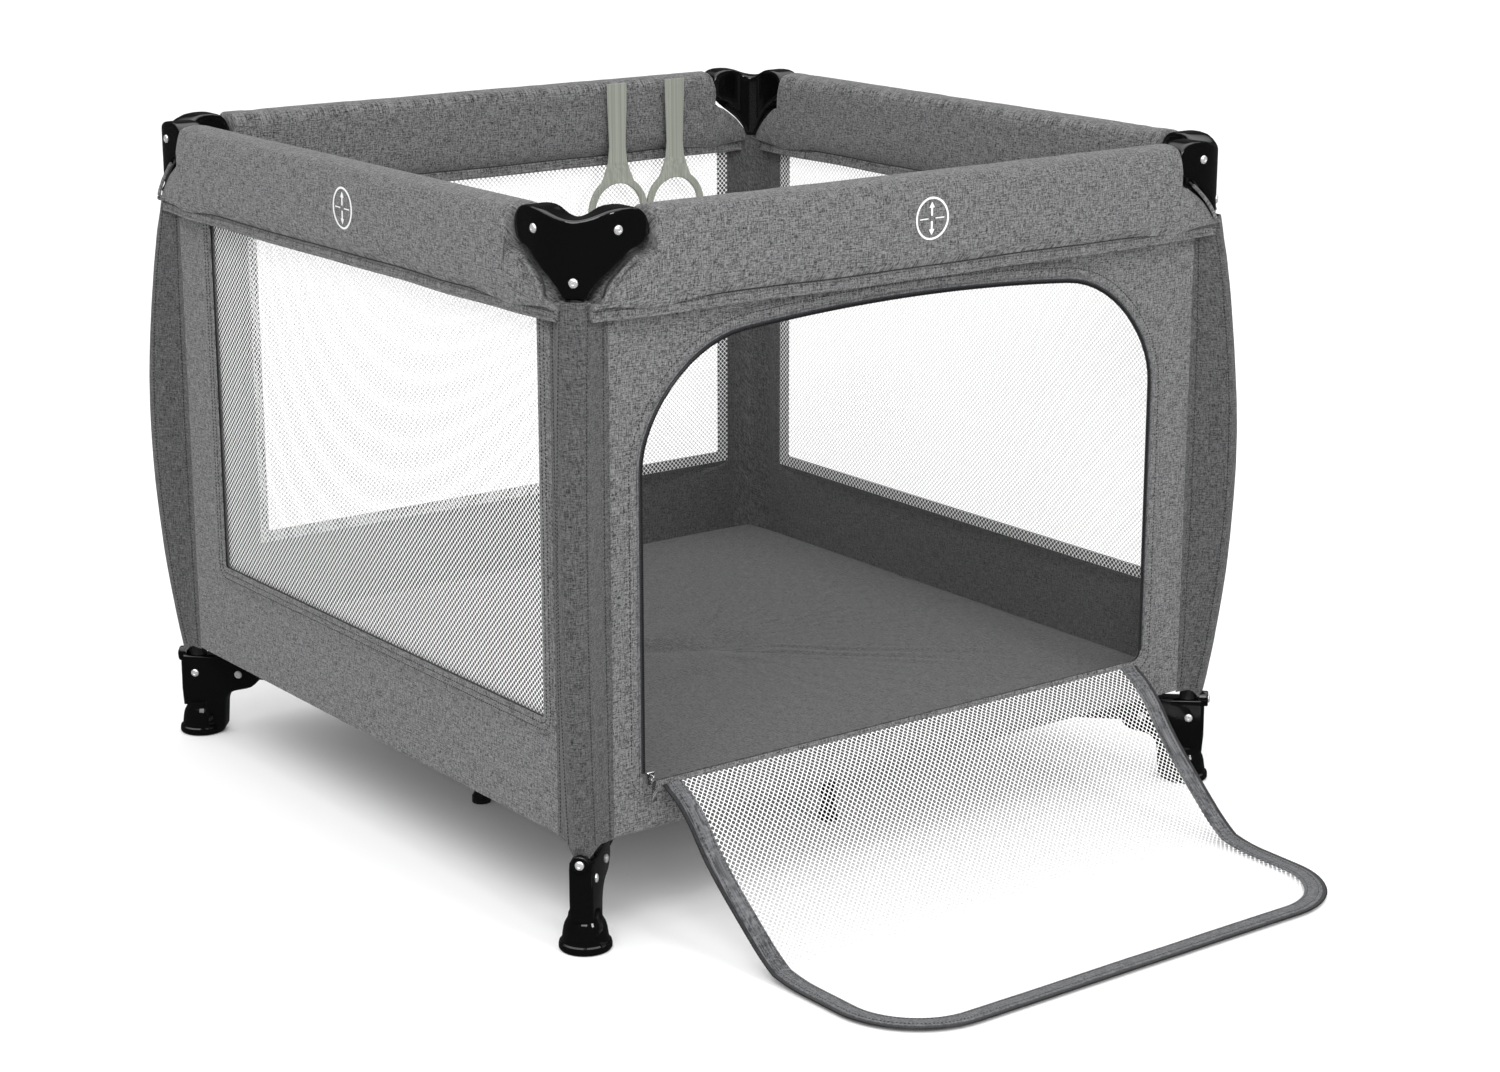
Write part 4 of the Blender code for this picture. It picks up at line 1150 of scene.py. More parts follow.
# %% The swollen cover
COVER_SLIM, COVER_PRESSURE, COVER_CAP, COVER_SLACK = 0.0035, 2.6, 0.0065, 0.010
cover, section_points = cover_base(COVER_SLIM)
pinned = {}
for index in range(len(cover.data.vertices)):
    place = index % section_points
    from_edge = min(place, section_points - 1 - place)
    station = index // section_points
    if from_edge < PINNED_ROWS or station in (0, COVER_STATIONS):
        pinned[index] = 1.0
    elif station < PINNED_ENDS or station > COVER_STATIONS - PINNED_ENDS:
        pinned[index] = 0.6
base = points_of(cover)
outward = np.column_stack([
    np.zeros(len(base)),
    np.where(base[:, 1] < -RAIL - 0.004, -1.0, np.where(base[:, 1] > -RAIL + 0.004, 1.0, 0.0)),
    np.where(base[:, 2] > COVER_TOP - 0.030, 1.0, 0.0),
])
print("cover swelled", blow_up(cover, pinned, COVER_PRESSURE, COVER_CAP, COVER_SLACK, outward=outward))
lay_uv(cover, "x")

# %% [markdown]
# The seams come after the padding, because they have to stay sharp. A dark seam line runs along the crease above
# the flange; it is partly the seam and partly painted shade in that crease. A piping runs along the flange's edge
# and round both ends, and a row of stitches holds the flange on each face. The four covers get different creases,
# and each is cut at the middle of its side and near the heads, where the rail under it folds.

# %% Small creases in the padding
def crease(obj, seed, top_limit):
    """Small creases along and across the padding, fading out on the flange and at the top."""
    points = points_of(obj)
    for point in points:
        x, y, z = point
        side = 1 if y < -RAIL else -1
        d = RAIL - abs(x)
        high = smooth_step((z - SEAM_Z) / 0.02)
        ends = math.exp(-(((d - 0.10) / 0.045) ** 2))
        wave = noise.noise(Vector((x * 26 + seed, z * 9, seed * side)))
        slant = noise.noise(Vector((x * 60 + z * 22, seed * 1.7, side * 2.0)))
        long = noise.noise(Vector((x * 5 - seed, z * 30, side * 3.0)))
        out = high * (0.0010 * wave + 0.0009 * long + (0.0005 + 0.0020 * ends) * slant)
        middle_dip = 0.0022 * math.exp(-((x / 0.030) ** 2)) * high
        y_out = (out - middle_dip) * smooth_step((top_limit - z) / 0.02)
        low = 1 - smooth_step((z - SEAM_Z) / 0.02)
        point[1] = y - side * y_out
        z += low * 0.0014 * noise.noise(Vector((x * 9, seed, side * 1.3)))
        point[2] = z + min(0, out * 0.5) * smooth_step((z - top_limit + 0.03) / 0.02)
    set_points(obj, points)
    return obj


print("creases come from smooth noise")


# %% Where the seams and the cuts run
SEAM_POINTS = {"outer_seam": 4, "outer_flange": 3, "outer_hem": 1}


def cover_runs(obj):
    """The paths of the piping, the seam and the stitches, read from the finished cover's own points."""
    points = points_of(obj).reshape(-1, section_points, 3)
    paths = {}
    for name, place in SEAM_POINTS.items():
        paths[name] = [Vector(p) for p in points[1:-1, place]]
        paths[name.replace("outer", "inner")] = [Vector(p) for p in points[1:-1, section_points - 1 - place]]
    paths["left_rim"] = [Vector(p) for p in points[1, 3:section_points - 3]]
    paths["right_rim"] = [Vector(p) for p in points[-2, 3:section_points - 3]]
    return paths


def out_normals(path, across):
    """Normals that point away from the cover's middle line."""
    found = []
    for point in path:
        if across:
            middle_z = (cover_shape(point.x)[0] + SEAM_Z) / 2
            way = Vector((0, point.y + RAIL, point.z - middle_z))
        else:
            way = Vector((0, -1 if point.y < -RAIL else 1, 0))
        found.append(way.normalized())
    return found


CUTS = (-1.0, -0.345, 0.0, 0.345, 1.0)
PART_NAMES = ("left_ear", "left", "right", "right_ear")
PIPING_SECTION, SEAM_SHADE_SECTION = round_section(0.0023, 8), round_section(0.0011, 6)


def cut_at(obj, x, keep_right):
    """Cuts a piece across at x and keeps one side of the cut."""
    select_only(obj)
    bpy.ops.object.mode_set(mode="EDIT")
    bpy.ops.mesh.select_all(action="SELECT")
    bpy.ops.mesh.bisect(
        plane_co=(x, 0, 0), plane_no=(1, 0, 0), clear_inner=keep_right, clear_outer=not keep_right
    )
    bpy.ops.object.mode_set(mode="OBJECT")
    return obj


print("a cover is cut at", CUTS[1:-1])

# %% Making the four covers
def sewn_cover(seed):
    """A copy of the swollen cover with creases, stitches, piping and seams of its own."""
    whole = paint_with(crease(copy_of(cover, "whole", Matrix.Identity(4)), seed, COVER_TOP), FABRIC)
    paths = cover_runs(whole)
    runs = []
    for name, out in (("outer_flange", -1), ("inner_flange", 1)):
        runs.append(([p + Vector((0, out * 0.0003, 0)) for p in paths[name]], (0, out, 0)))
    whole = sew(whole, runs, THREAD_AND_SHADE)
    for name in ("outer_hem", "inner_hem", "left_rim", "right_rim"):
        normals = out_normals(paths[name], name.endswith("rim"))
        piping = lay_uv(sweep("piping", paths[name], normals, PIPING_SECTION), "x")
        whole = join(whole, paint_with(piping, FABRIC))
    # The dark lines along the seams are partly the seam and partly painted shade in the crease above the flange.
    for name in ("outer_seam", "inner_seam"):
        line = sweep("line", paths[name], out_normals(paths[name], False), SEAM_SHADE_SECTION)
        line.data.uv_layers.new(name="cloth")
        whole = join(whole, paint_with(line, THREAD_AND_SHADE))
    return whole


for side, turns in SIDES.items():
    whole = sewn_cover(turns * 3.9 + 0.7)
    for number, (low, high) in enumerate(zip(CUTS, CUTS[1:])):
        part = copy_of(whole, "part", Matrix.Identity(4))
        if low > -1:
            cut_at(part, low, True)
        if high < 1:
            cut_at(part, high, False)
        part.data.transform(quarter(turns))
        settle(part, f"{side}_cover_{PART_NAMES[number]}", 60)
        for face in part.data.polygons:
            face.use_smooth = True
        if number in (0, 3):
            dress(part, FABRIC, ENDS[side][number // 3])
        else:
            dress(part, FABRIC)
            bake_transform(part)
        print(part.name, len(part.data.polygons), "faces")
    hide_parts(f"{side}_rail_cover")
    bpy.data.objects.remove(whole)
bpy.data.objects.remove(cover)

# %% [markdown]
# ## Corner heads
# A glossy black moulding caps each corner. Seen flat it has two round lobes and a lower tongue, and it is bent
# round the corner. So it is made flat from a grid, thickened, remeshed so that all its edges round off together,
# and bent at the end by a formula that turns distance along the grid into an angle.

# %% The flat head
SLOT_T, SLOT_Z, SLOT_SIZE = 0.0660, 0.700, (0.060, 0.023, 0.100)


def flat_head():
    """A grid pulled to the head's outline, thickened, slotted for the rails and rounded."""
    bpy.ops.object.select_all(action="DESELECT")
    bpy.ops.mesh.primitive_grid_add(x_subdivisions=96, y_subdivisions=40, size=1)
    plate = bpy.context.object
    points = points_of(plate)
    for point in points:
        t = 2 * point[0] * (LOBE_OUT - 0.0003)
        low, high = head_edge(t)
        point[:] = (t, 0, low + (high - low) * (point[1] + 0.5))
    set_points(plate, points)
    shape(plate, "SOLIDIFY", thickness=2 * HEAD_HALF, offset=0)
    face_out(plate)
    for hand in (-1, 1):
        bpy.ops.object.select_all(action="DESELECT")
        bpy.ops.mesh.primitive_cube_add(size=1, location=(hand * SLOT_T, 0, SLOT_Z), scale=SLOT_SIZE)
        slot_tool = bpy.context.object
        bpy.ops.object.transform_apply(location=True, rotation=True, scale=True)
        shape(plate, "BOOLEAN", object=slot_tool, operation="DIFFERENCE", solver="EXACT")
        bpy.data.objects.remove(slot_tool)
    shape(plate, "REMESH", mode="VOXEL", voxel_size=0.0016)
    shape(plate, "SMOOTH", factor=0.5, iterations=30)
    return plate


print("a slot takes each rail's end")

# %% Bending the head
def bend_head(points):
    """Bends flat points (t, y, z) round the front left corner."""
    bent = np.empty_like(points)
    for k, (t, y, z) in enumerate(points):
        out = -y
        hand = 1 if t >= 0 else -1
        far = abs(t)
        if far < ARC_HALF:
            turn = math.radians(225) + far / HEAD_BEND
            reach = HEAD_BEND + out
            place = (HEAD_BEND + reach * math.cos(turn), HEAD_BEND + reach * math.sin(turn))
        else:
            place = (HEAD_BEND + far - ARC_HALF, -out)
        if hand < 0:
            place = (place[1], place[0])
        bent[k] = (place[0] - RAIL, place[1] - RAIL, z)
    return bent


print("bend radius", round(HEAD_BEND, 4))

# %% Turned pieces
RIVET_R, RIVET_DEPTH = 0.0048, 0.0022
# A rivet head's shares of its radius and of its depth, with a shallow dimple in the middle.
RIVET_PROFILE = [(0.0, 0.72), (0.28, 0.74), (0.40, 1.0), (0.66, 0.92), (0.88, 0.62), (1.0, 0.22), (1.0, -0.4)]


def spin_round(name, profile, axis, steps):
    """Spins a profile's points all the way round an axis, and closes the seam and the poles."""
    obj = new_object(name, profile, edges=[(k, k + 1) for k in range(len(profile) - 1)])
    select_only(obj)
    bpy.ops.object.mode_set(mode="EDIT")
    bpy.ops.mesh.select_all(action="SELECT")
    bpy.ops.mesh.spin(steps=steps, angle=2 * math.pi, center=(0, 0, 0), axis=axis)
    bpy.ops.mesh.select_all(action="SELECT")
    bpy.ops.mesh.remove_doubles(threshold=0.00002)
    bpy.ops.mesh.normals_make_consistent(inside=False)
    bpy.ops.object.mode_set(mode="OBJECT")
    return obj


rivet_points = [(RIVET_R * r, -RIVET_DEPTH * out, 0) for r, out in RIVET_PROFILE]
rivet_tool = spin_round("rivet", rivet_points, (0, 1, 0), 20)


def at_corners(piece, name, stands_for, rivets=()):
    """Puts a black moulding at all four corners, with rivets at these places on it."""
    for corner, turns in CORNERS.items():
        shell = copy_of(piece, f"{corner}_{name}", quarter(turns))
        settle(shell, f"{corner}_{name}", 35 if rivets else 30)
        dress(shell, GLOSS, f"{corner}_corner")
        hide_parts(f"{corner}_{stands_for}")
        if rivets:
            metal = join(*(copy_of(rivet_tool, "one", quarter(turns) @ place) for place in rivets))
            metal = settle(metal, f"{corner}_{stands_for}_rivets", 35)
            dress(metal, NICKEL, f"{corner}_corner")
    bpy.data.objects.remove(piece)
    print(name, "at", len(CORNERS), "corners, with", len(rivets), "rivets each")


print("rivet radius", RIVET_R)

# %% Making the four heads
def facing(x, y, z, degrees):
    """A place for a rivet, turned from the front about an upright axis."""
    return Matrix.Translation((x, y, z)) @ Matrix.Rotation(math.radians(degrees), 4, "Z")


RIVET_OUT = 0.0430                        # from the corner of the rail lines to a lobe's rivet
THROAT_RIVET = 0.0175                     # from the throat up to its rivet
corner_gap = HEAD_BEND - (HEAD_BEND + HEAD_HALF) * DIAGONAL
head = flat_head()
set_points(head, bend_head(points_of(head)))
at_corners(head, "head_shell", "head", [
    facing(-RAIL + RIVET_OUT, -RAIL - HEAD_HALF, LOBE_Z, 0),
    facing(-RAIL - HEAD_HALF, -RAIL + RIVET_OUT, LOBE_Z, -90),
    facing(-RAIL + corner_gap, -RAIL + corner_gap, THROAT_Z + THROAT_RIVET, -45),
])

# %% [markdown]
# ## Piping round the heads
# Each cover ends in an ear that is bound with a thick piping, and it closes tightly round the moulded head. The
# piping is a round section swept along the ear's edge, on the surface of the cover. Beside it, next to the head,
# a thin dark roll paints the shade in the gap between the cover and the head.

# %% Piping along the ears
PIPING_R, EAR_SHADE_LINE_R = 0.0021, 0.0010


def place_of(t):
    """The distance from the corner of the rail lines of a place that lies t along the head."""
    if t >= ARC_HALF:
        return HEAD_BEND + t - ARC_HALF
    return HEAD_BEND * (1 + math.cos(math.radians(135) - t / HEAD_BEND))


def ear_path(drop):
    """Points along the edge of an ear at the front left corner, on the cover's face, a little below its top."""
    along = np.linspace(TONGUE_T + 0.004, LOBE_T + 0.002, 34)
    path = np.array([(t, cover_shape(place_of(t) - RAIL)[0] - drop) for t in along])
    for _ in range(4):
        path[1:-1] = (path[:-2] + 2 * path[1:-1] + path[2:]) / 4
    placed = []
    for t, z in path:
        d = place_of(t)
        face = cover_section(d - RAIL, 0.0)[5:17]
        out = float(np.interp(z, [point[1] for point in face], [point[0] for point in face]))
        placed.append((d - RAIL, -RAIL - out - 0.0004, z))
    return placed


def ear_roll(drop, radius, paint):
    """The piping or seam of both ears that meet at the front left corner."""
    rolls = []
    for swapped in (False, True):
        path = [(y, x, z) if swapped else (x, y, z) for x, y, z in ear_path(drop)]
        out = (-1, 0, 0) if swapped else (0, -1, 0)
        roll = sweep("roll", path, [out] * len(path), round_section(radius, 10))
        rolls.append(paint_with(lay_uv(roll, "y" if swapped else "x"), paint))
    return join(*rolls)


# The thin dark roll next to the head is painted shade for the gap between the ear and the head.
ears = join(ear_roll(0.0034, PIPING_R, FABRIC), ear_roll(0.0004, EAR_SHADE_LINE_R, THREAD_AND_SHADE))
for corner, turns in CORNERS.items():
    piece = copy_of(ears, f"{corner}_ear_piping", quarter(turns))
    dress(settle(piece, f"{corner}_ear_piping", 60), FABRIC, f"{corner}_corner")
bpy.data.objects.remove(ears)
print("piping round", len(CORNERS), "heads")

# %% [markdown]
# ## Rubber boots
# A boot is turned: one profile of half its section is spun round the post's line. The shape is a shiny dome that
# grows out of a short collar and ends in a flared rim on the floor.

# %% Turning the boots
BOOT_PROFILE = [
    (0.0, BOOT_TOP), (0.0145, BOOT_TOP), (0.0168, BOOT_TOP - 0.0008), (0.0176, BOOT_TOP - 0.003),
    (0.0178, BOOT_TOP - 0.0065), (0.0190, BOOT_TOP - 0.0085), (0.0212, BOOT_TOP - 0.0125),
    (0.0228, BOOT_TOP - 0.018), (0.0238, 0.0150),
    (0.0244, 0.0110), (0.0252, 0.0090), (0.0270, 0.0078), (BOOT_R - 0.0003, 0.0066), (BOOT_R, 0.0050),
    (BOOT_R, 0.0020), (BOOT_R - 0.0010, 0.0004), (BOOT_R - 0.0030, 0.0), (0.0, 0.0),
]
boot = spin_round("boot", [(r, 0, z) for r, z in BOOT_PROFILE], (0, 0, 1), 56)
boot.data.transform(Matrix.Translation((-POST_XY, -POST_XY, 0)))
at_corners(boot, "rubber_boot", "boot")

# %% [markdown]
# ## Feet
# Each foot has a bracket whose two ears carry the ends of the cross bars and a bright rivet in each ear. A
# larger boss with its own rivet faces out of the corner, just under the cloth.

# %% The outline of a foot
FOOT_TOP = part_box("front_left_foot")[1].z
FOOT_HALF = 0.0125                        # half of the foot's thickness across the diagonal
EAR_R, ARCH_R = 0.0165, 0.0230            # the bracket's round end, and the hollow under its arm


def foot_outline():
    """The foot's side view: u runs inwards from the post's middle along the diagonal."""
    path = [(-0.0160, 0.0385), (-0.0172, 0.0560), (-0.0170, 0.0900), (-0.0150, FOOT_TOP), (0.0500, FOOT_TOP),
            (0.0600, FOOT_TOP - 0.0010)]
    for k in range(9):
        turn = math.radians(70 - 150 * k / 8)
        path.append((0.0570 + EAR_R * math.cos(turn), BAR_Z + 0.0015 + EAR_R * math.sin(turn)))
    for k in range(1, 10):
        turn = math.radians(90 + 88 * k / 9)
        path.append((0.0520 + ARCH_R * math.cos(turn), 0.0370 + ARCH_R * math.sin(turn)))
    path += [(0.0280, 0.0240), (0.0270, 0.0100), (0.0240, 0.0050), (0.0100, 0.0050), (0.0, 0.0080), (0.0, 0.0385)]
    return path


print("foot top", round(FOOT_TOP, 4))

# %% Making the four feet
along_diagonal = Matrix.Translation((-POST_XY, -POST_XY, 0)) @ Matrix.Rotation(math.radians(45), 4, "Z")
across_corner = Matrix.Translation((-POST_XY, -POST_XY, 0)) @ Matrix.Rotation(math.radians(-45), 4, "Z")
BOSS_R, BOSS_LONG, BOSS_UP = 0.0092, 0.0120, 0.0030
foot = flat_curve("foot", [foot_outline()], 2 * FOOT_HALF, 0.0040)
foot.data.transform(along_diagonal)
bpy.ops.object.select_all(action="DESELECT")
bpy.ops.mesh.primitive_cylinder_add(vertices=40, radius=BOSS_R, depth=BOSS_LONG)
boss = bpy.context.object
boss.data.transform(Matrix.Rotation(math.pi / 2, 4, "X"))
shape(boss, "BEVEL", width=0.0018, segments=4, limit_method="ANGLE")
boss.data.transform(across_corner @ Matrix.Translation((0, -0.0190, FOOT_TOP + BOSS_UP)))
foot_rivets = [across_corner @ Matrix.Translation((0, -0.0250, FOOT_TOP + BOSS_UP))]
for u in (0.0, 0.055):
    for hand in (-1, 1):
        at = along_diagonal @ Vector((u - 0.0030, hand * FOOT_HALF, BAR_Z))
        foot_rivets.append(facing(*at, 45 if hand < 0 else 225))
at_corners(join(foot, boss), "foot_shell", "foot", foot_rivets)
bpy.data.objects.remove(rivet_tool)

# %% [markdown]
# ## The zip round the doorway
# A black tape is sewn round the doorway and carries a coil of small teeth, and a thin bright edge of cloth shows
# beside it. One tooth is modelled with few faces and repeated along the path, because there are hundreds.

# %% Zip tape, teeth and edge
DOOR = WINDOWS["front"]


def door_path(spread):
    """The doorway's outline from the lower left, up, over and down to the lower right."""
    ring = outline(DOOR, ROUNDS["front"], spread)
    turned = []
    count = len(ring)

    def from_foot(k):
        """How far a point is from the left edge's foot, with its distance sideways counted tenfold."""
        return abs(ring[k][0] - (DOOR[0] - spread)) * 10 + abs(ring[k][1] - (DOOR[2] + 0.012))

    # From the left edge's foot the outline is followed clockwise.
    low_left = min(range(count), key=from_foot)
    for step in range(count):
        x, z = ring[(low_left - step) % count]
        turned.append((x, z))
        if x > DOOR[1] + spread - 0.001 and z < DOOR[2] + 0.014:
            break
    return turned


def strip_on_door(name, spread, y, section, paint):
    path = [(x, y, z) for x, z in door_path(spread)]
    strip = sweep(name, path, [(0, -1, 0)] * len(path), section)
    lay_uv(strip, "x")
    strip.data.materials.append(paint)
    return strip


def teeth_along(path, normal, pitch, wide, tall, paint):
    """A row of zip teeth, each a small box with a narrowed top, joined into one piece."""
    verts, faces = [], []
    for at, way, _ in evenly(path, pitch):
        out = Vector(normal)
        across = way.cross(out).normalized()
        start = len(verts)
        for level, narrow in ((0.0, 1.0), (1.0, 0.55)):
            for a, b in ((-1, -1), (1, -1), (1, 1), (-1, 1)):
                sideways = across * (a * wide / 2 * narrow) + way * (b * pitch * 0.33 * narrow)
                verts.append(at + sideways + out * (tall * level))
        for face in ((0, 3, 2, 1), (4, 5, 6, 7), (0, 1, 5, 4), (1, 2, 6, 5), (2, 3, 7, 6), (3, 0, 4, 7)):
            faces.append(tuple(start + k for k in face))
    mesh = bpy.data.meshes.new("teeth")
    mesh.from_pydata([tuple(v) for v in verts], [], faces)
    mesh.materials.append(paint)
    obj = bpy.data.objects.new("teeth", mesh)
    bpy.context.scene.collection.objects.link(obj)
    return obj


ZIP_Y = OUTER_Y - 0.0006
zip_tape = strip_on_door("zip_tape", -0.0016, ZIP_Y, flat_section(0.0052, 0.0010), TAPE)
zip_path = [(x, ZIP_Y - 0.0010, z) for x, z in door_path(-0.0024)]
zip_tape = join(zip_tape, teeth_along(zip_path, (0, -1, 0), 0.0024, 0.0032, 0.0010, SATIN))
dress(settle(zip_tape, "doorway_zip_tape", 40), TAPE, "front_left_corner")
squash_side(zip_tape)
zip_edge = strip_on_door("zip_edge", 0.0024, ZIP_Y - 0.0004, round_section(0.0014, 8), BINDING)
dress(settle(zip_edge, "doorway_edge", 60), BINDING, "front_left_corner")
squash_side(zip_edge)
print("zip length", round(sum((Vector(b) - Vector(a)).length for a, b in zip(zip_path, zip_path[1:])), 3))

# %% The slider and its puller
slider_low, slider_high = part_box("zip_slider")
SLIDER = (slider_low + slider_high) / 2


def slider_body():
    """A wedge with a bridge on top, from a cube that is narrowed, bevelled and given a loop."""
    bpy.ops.object.select_all(action="DESELECT")
    bpy.ops.mesh.primitive_cube_add(size=1, location=(0, 0, 0), scale=(0.0088, 0.0032, 0.0110))
    body = bpy.context.object
    bpy.ops.object.transform_apply(location=False, rotation=False, scale=True)
    points = points_of(body)
    points[:, 0] *= np.where(points[:, 2] > 0, 1.0, 0.62)
    set_points(body, points)
    shape(body, "BEVEL", width=0.0011, segments=3, limit_method="NONE")
    bpy.ops.object.select_all(action="DESELECT")
    bpy.ops.mesh.primitive_torus_add(location=(0, -0.0030, 0.0005), rotation=(0, math.pi / 2, 0),
                                     major_radius=0.0024,
                                     minor_radius=0.0006, major_segments=20, minor_segments=8)
    bridge = bpy.context.object
    bpy.ops.object.select_all(action="DESELECT")
    bpy.ops.mesh.primitive_cube_add(size=1, location=(0, -0.0052, -0.0095), scale=(0.0050, 0.0013, 0.0180))
    puller = bpy.context.object
    bpy.ops.object.transform_apply(location=True, rotation=True, scale=True)
    points = points_of(puller)
    points[:, 0] *= np.where(points[:, 2] > -0.008, 0.72, 1.15)
    set_points(puller, points)
    shape(puller, "BEVEL", width=0.0005, segments=2, limit_method="NONE")
    return join(body, bridge, puller)


slider = slider_body()
slider_at = Matrix.Translation((SLIDER.x, slider_low.y + 0.0025, SLIDER.z + 0.005))
slider.data.transform(slider_at @ Matrix.Scale(1.25, 4))
dress(settle(slider, "zip_slider_and_puller", 35), SLIDER_METAL, "zip_slider")
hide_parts("zip_slider")
print("slider at", [round(v, 4) for v in SLIDER])

# %% [markdown]
# ## The door flap
# The unzipped door hangs over the sill and lies on the floor. It is a net in a wide bound edge, cut straight at
# the sill and rounded at its far corners. A second crease, where it meets the floor, splits it in two.

# %% The flap's run from sill to floor
HINGE = Vector((0, -0.4400, 0.1600))
CREASE_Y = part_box("door_flap_upper")[0].y
END_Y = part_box("door_flap_lower")[0].y
FLAP_LEFT, FLAP_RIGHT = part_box("door_flap_upper")[0].x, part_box("door_flap_upper")[1].x
LAID_Z = 0.0030
SLOPED = math.hypot(HINGE.y - CREASE_Y, HINGE.z - LAID_Z)
FLAT = CREASE_Y - END_Y
FLAP_LONG = SLOPED + FLAT
TAPER, FAR_ROUND, BAND = 0.014, 0.100, 0.020


def flap_place(x, s, lift=0.0):
    """The point of the flap at x and at a distance s along its run, with its slope's normal."""
    blend_s = 0.045
    slope = Vector((0, CREASE_Y - HINGE.y, LAID_Z - HINGE.z)).normalized()
    if s < SLOPED:
        point = HINGE + slope * s
        # A slight sag of the hanging part, and a soft turn into the floor.
        point.z -= 0.0050 * math.sin(math.pi * s / SLOPED)
        over = math.exp(-(((s - 0.042) / 0.036) ** 2)) * smooth_step(s / 0.02)
        point.z += 0.0050 * over
        point.y -= 0.0042 * over
    else:
        point = Vector((0, CREASE_Y - (s - SLOPED), LAID_Z))
    turn = smooth_step((s - SLOPED + blend_s) / (2 * blend_s))
    if abs(s - SLOPED) < blend_s:
        point.z += 0.0045 * (1 - abs(s - SLOPED) / blend_s) ** 2
    normal = Vector((0, slope.z, -slope.y)).lerp(Vector((0, 0, 1)), turn).normalized()
    if normal.z < 0:
        normal.negate()
    wave = noise.noise(Vector((x * 6, s * 5, 2.7))) * 0.0032 * math.sin(math.pi * min(s / FLAP_LONG, 1.0)) ** 0.5
    laid = smooth_step((s - SLOPED) / 0.02)
    wave = wave * (1 - laid) + abs(wave) * laid * 0.9
    point.x = x
    return point + normal * (wave + lift), normal


print("flap runs", round(SLOPED, 4), "down and", round(FLAT, 4), "along the floor")

# %% The flap's edges
def flap_edge(s, inset):
    """Where the flap's left and right edges are at a distance s along its run."""
    taper = TAPER * s / FLAP_LONG
    left, right = FLAP_LEFT + taper + inset, FLAP_RIGHT - taper - inset
    radius, end = FAR_ROUND - inset, FLAP_LONG - inset
    deep = s - (end - radius)
    if deep > 0:
        pull = radius - math.sqrt(max(radius**2 - min(deep, radius) ** 2, 0.0))
        left, right = left + pull, right - pull
    return left, right


def flap_outline(inset, low, high):
    """The flap's edge as (x, s), between two distances: down the left, along the end and up the right."""
    end, radius = FLAP_LONG - inset, FAR_ROUND - inset
    path = []
    steps = 60
    top_s = min(high, end - radius)
    left_side = []
    for k in range(steps + 1):
        s = low + (top_s - low) * k / steps
        left_side.append((flap_edge(s, inset)[0], s))
    right_side = [(flap_edge(s, inset)[1], s) for _, s in left_side][::-1]
    if high < end - radius:
        return [left_side, right_side]
    left, right = flap_edge(end - radius, inset)
    round_left = []
    for k in range(1, 17):
        turn = math.pi / 2 * k / 16
        round_left.append((left + radius - radius * math.cos(turn), end - radius + radius * math.sin(turn)))
    span = [(left + radius + (right - left - 2 * radius) * k / 40, end) for k in range(1, 40)]
    round_right = [(left + right - x, s) for x, s in round_left][::-1]
    return [left_side + round_left + span + round_right + right_side]


print("flap tapers by", TAPER, "on each side")

# %% Strips and net on the flap
def flap_strip(inset, low, high, lift, section, paint):
    """A strip of this section along the flap's edges, between two distances along its run."""
    pieces = []
    for path in flap_outline(inset, low, high):
        placed = [flap_place(x, s, lift) for x, s in path]
        strip = sweep("strip", [p for p, _ in placed], [n for _, n in placed], section)
        pieces.append(paint_with(uv_from_points(strip, lambda _, co: (co.x, co.y - co.z)), paint))
    return join(pieces[0], *pieces[1:]) if len(pieces) > 1 else pieces[0]


def flap_net(name, low, high):
    """The flap's net between two distances along its run, with its weave laid out flat."""
    rows = []
    steps, width = 44, 49
    for i in range(steps + 1):
        s = low + (high - low) * i / steps
        left, right = flap_edge(s, BAND * 0.6)
        if right - left < 0.02:
            continue
        rows.append([flap_place(left + (right - left) * k / 48, s, 0.0004)[0] for k in range(width)])
    net = cloth(name, rows)
    return uv_from_points(net, lambda index, co: (co.x, low + (high - low) * (index // width) / steps))


print("flap binding is", BAND, "wide")

# %% Making both parts of the flap
for name, low, high in (("upper", 0.0, SLOPED), ("lower", SLOPED, FLAP_LONG)):
    net = flap_net(f"door_flap_{name}_net", low, high - (BAND * 0.6 if name == "lower" else 0))
    band = flap_strip(BAND / 2 + 0.004, low, high, -0.0008, flat_section(BAND, 0.0026), BINDING)
    for distance in (0.0090, BAND + 0.0005):
        runs = []
        for path in flap_outline(distance, low, high):
            placed = [flap_place(x, s, 0.0021) for x, s in path]
            runs.append(([p for p, _ in placed], [n for _, n in placed]))
        band = sew(band, runs, THREAD_AND_SHADE)
    edge = flap_strip(0.0030, low, high, -0.0004, flat_section(0.0058, 0.0018), TAPE)
    runs = flap_outline(0.0008, low, high)
    for path in runs:
        placed = [flap_place(x, s, 0.0006) for x, s in path]
        edge = join(edge, teeth_along([p for p, _ in placed], (0, 0, 1), 0.0028, 0.0024, 0.0010, SATIN))
    body = f"door_flap_{name}"
    dress(settle(net, f"door_flap_{name}_net", 60), NETTING, body)
    dress(settle(band, f"door_flap_{name}_band", 60), BINDING, body)
    dress(settle(edge, f"door_flap_{name}_zip", 40), TAPE, body)
    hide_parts(body)
    held = "hung" if name == "upper" else "laid"
    for piece in (net, band, edge):
        squash_side(piece)

# %% [markdown]
# ## Pull straps
# Two webbing straps hang over the far cover and end in moulded rings. Each is drawn as a flat outline with a hole,
# which a curve object fills and thickens with rounded edges, so the strap runs into its ring with no joint.

# %% Straps and rings
STRAP_TOP, STRAP_LONG, RING_R, RING_THICK = 0.7600, 0.1232, 0.0446, 0.0068


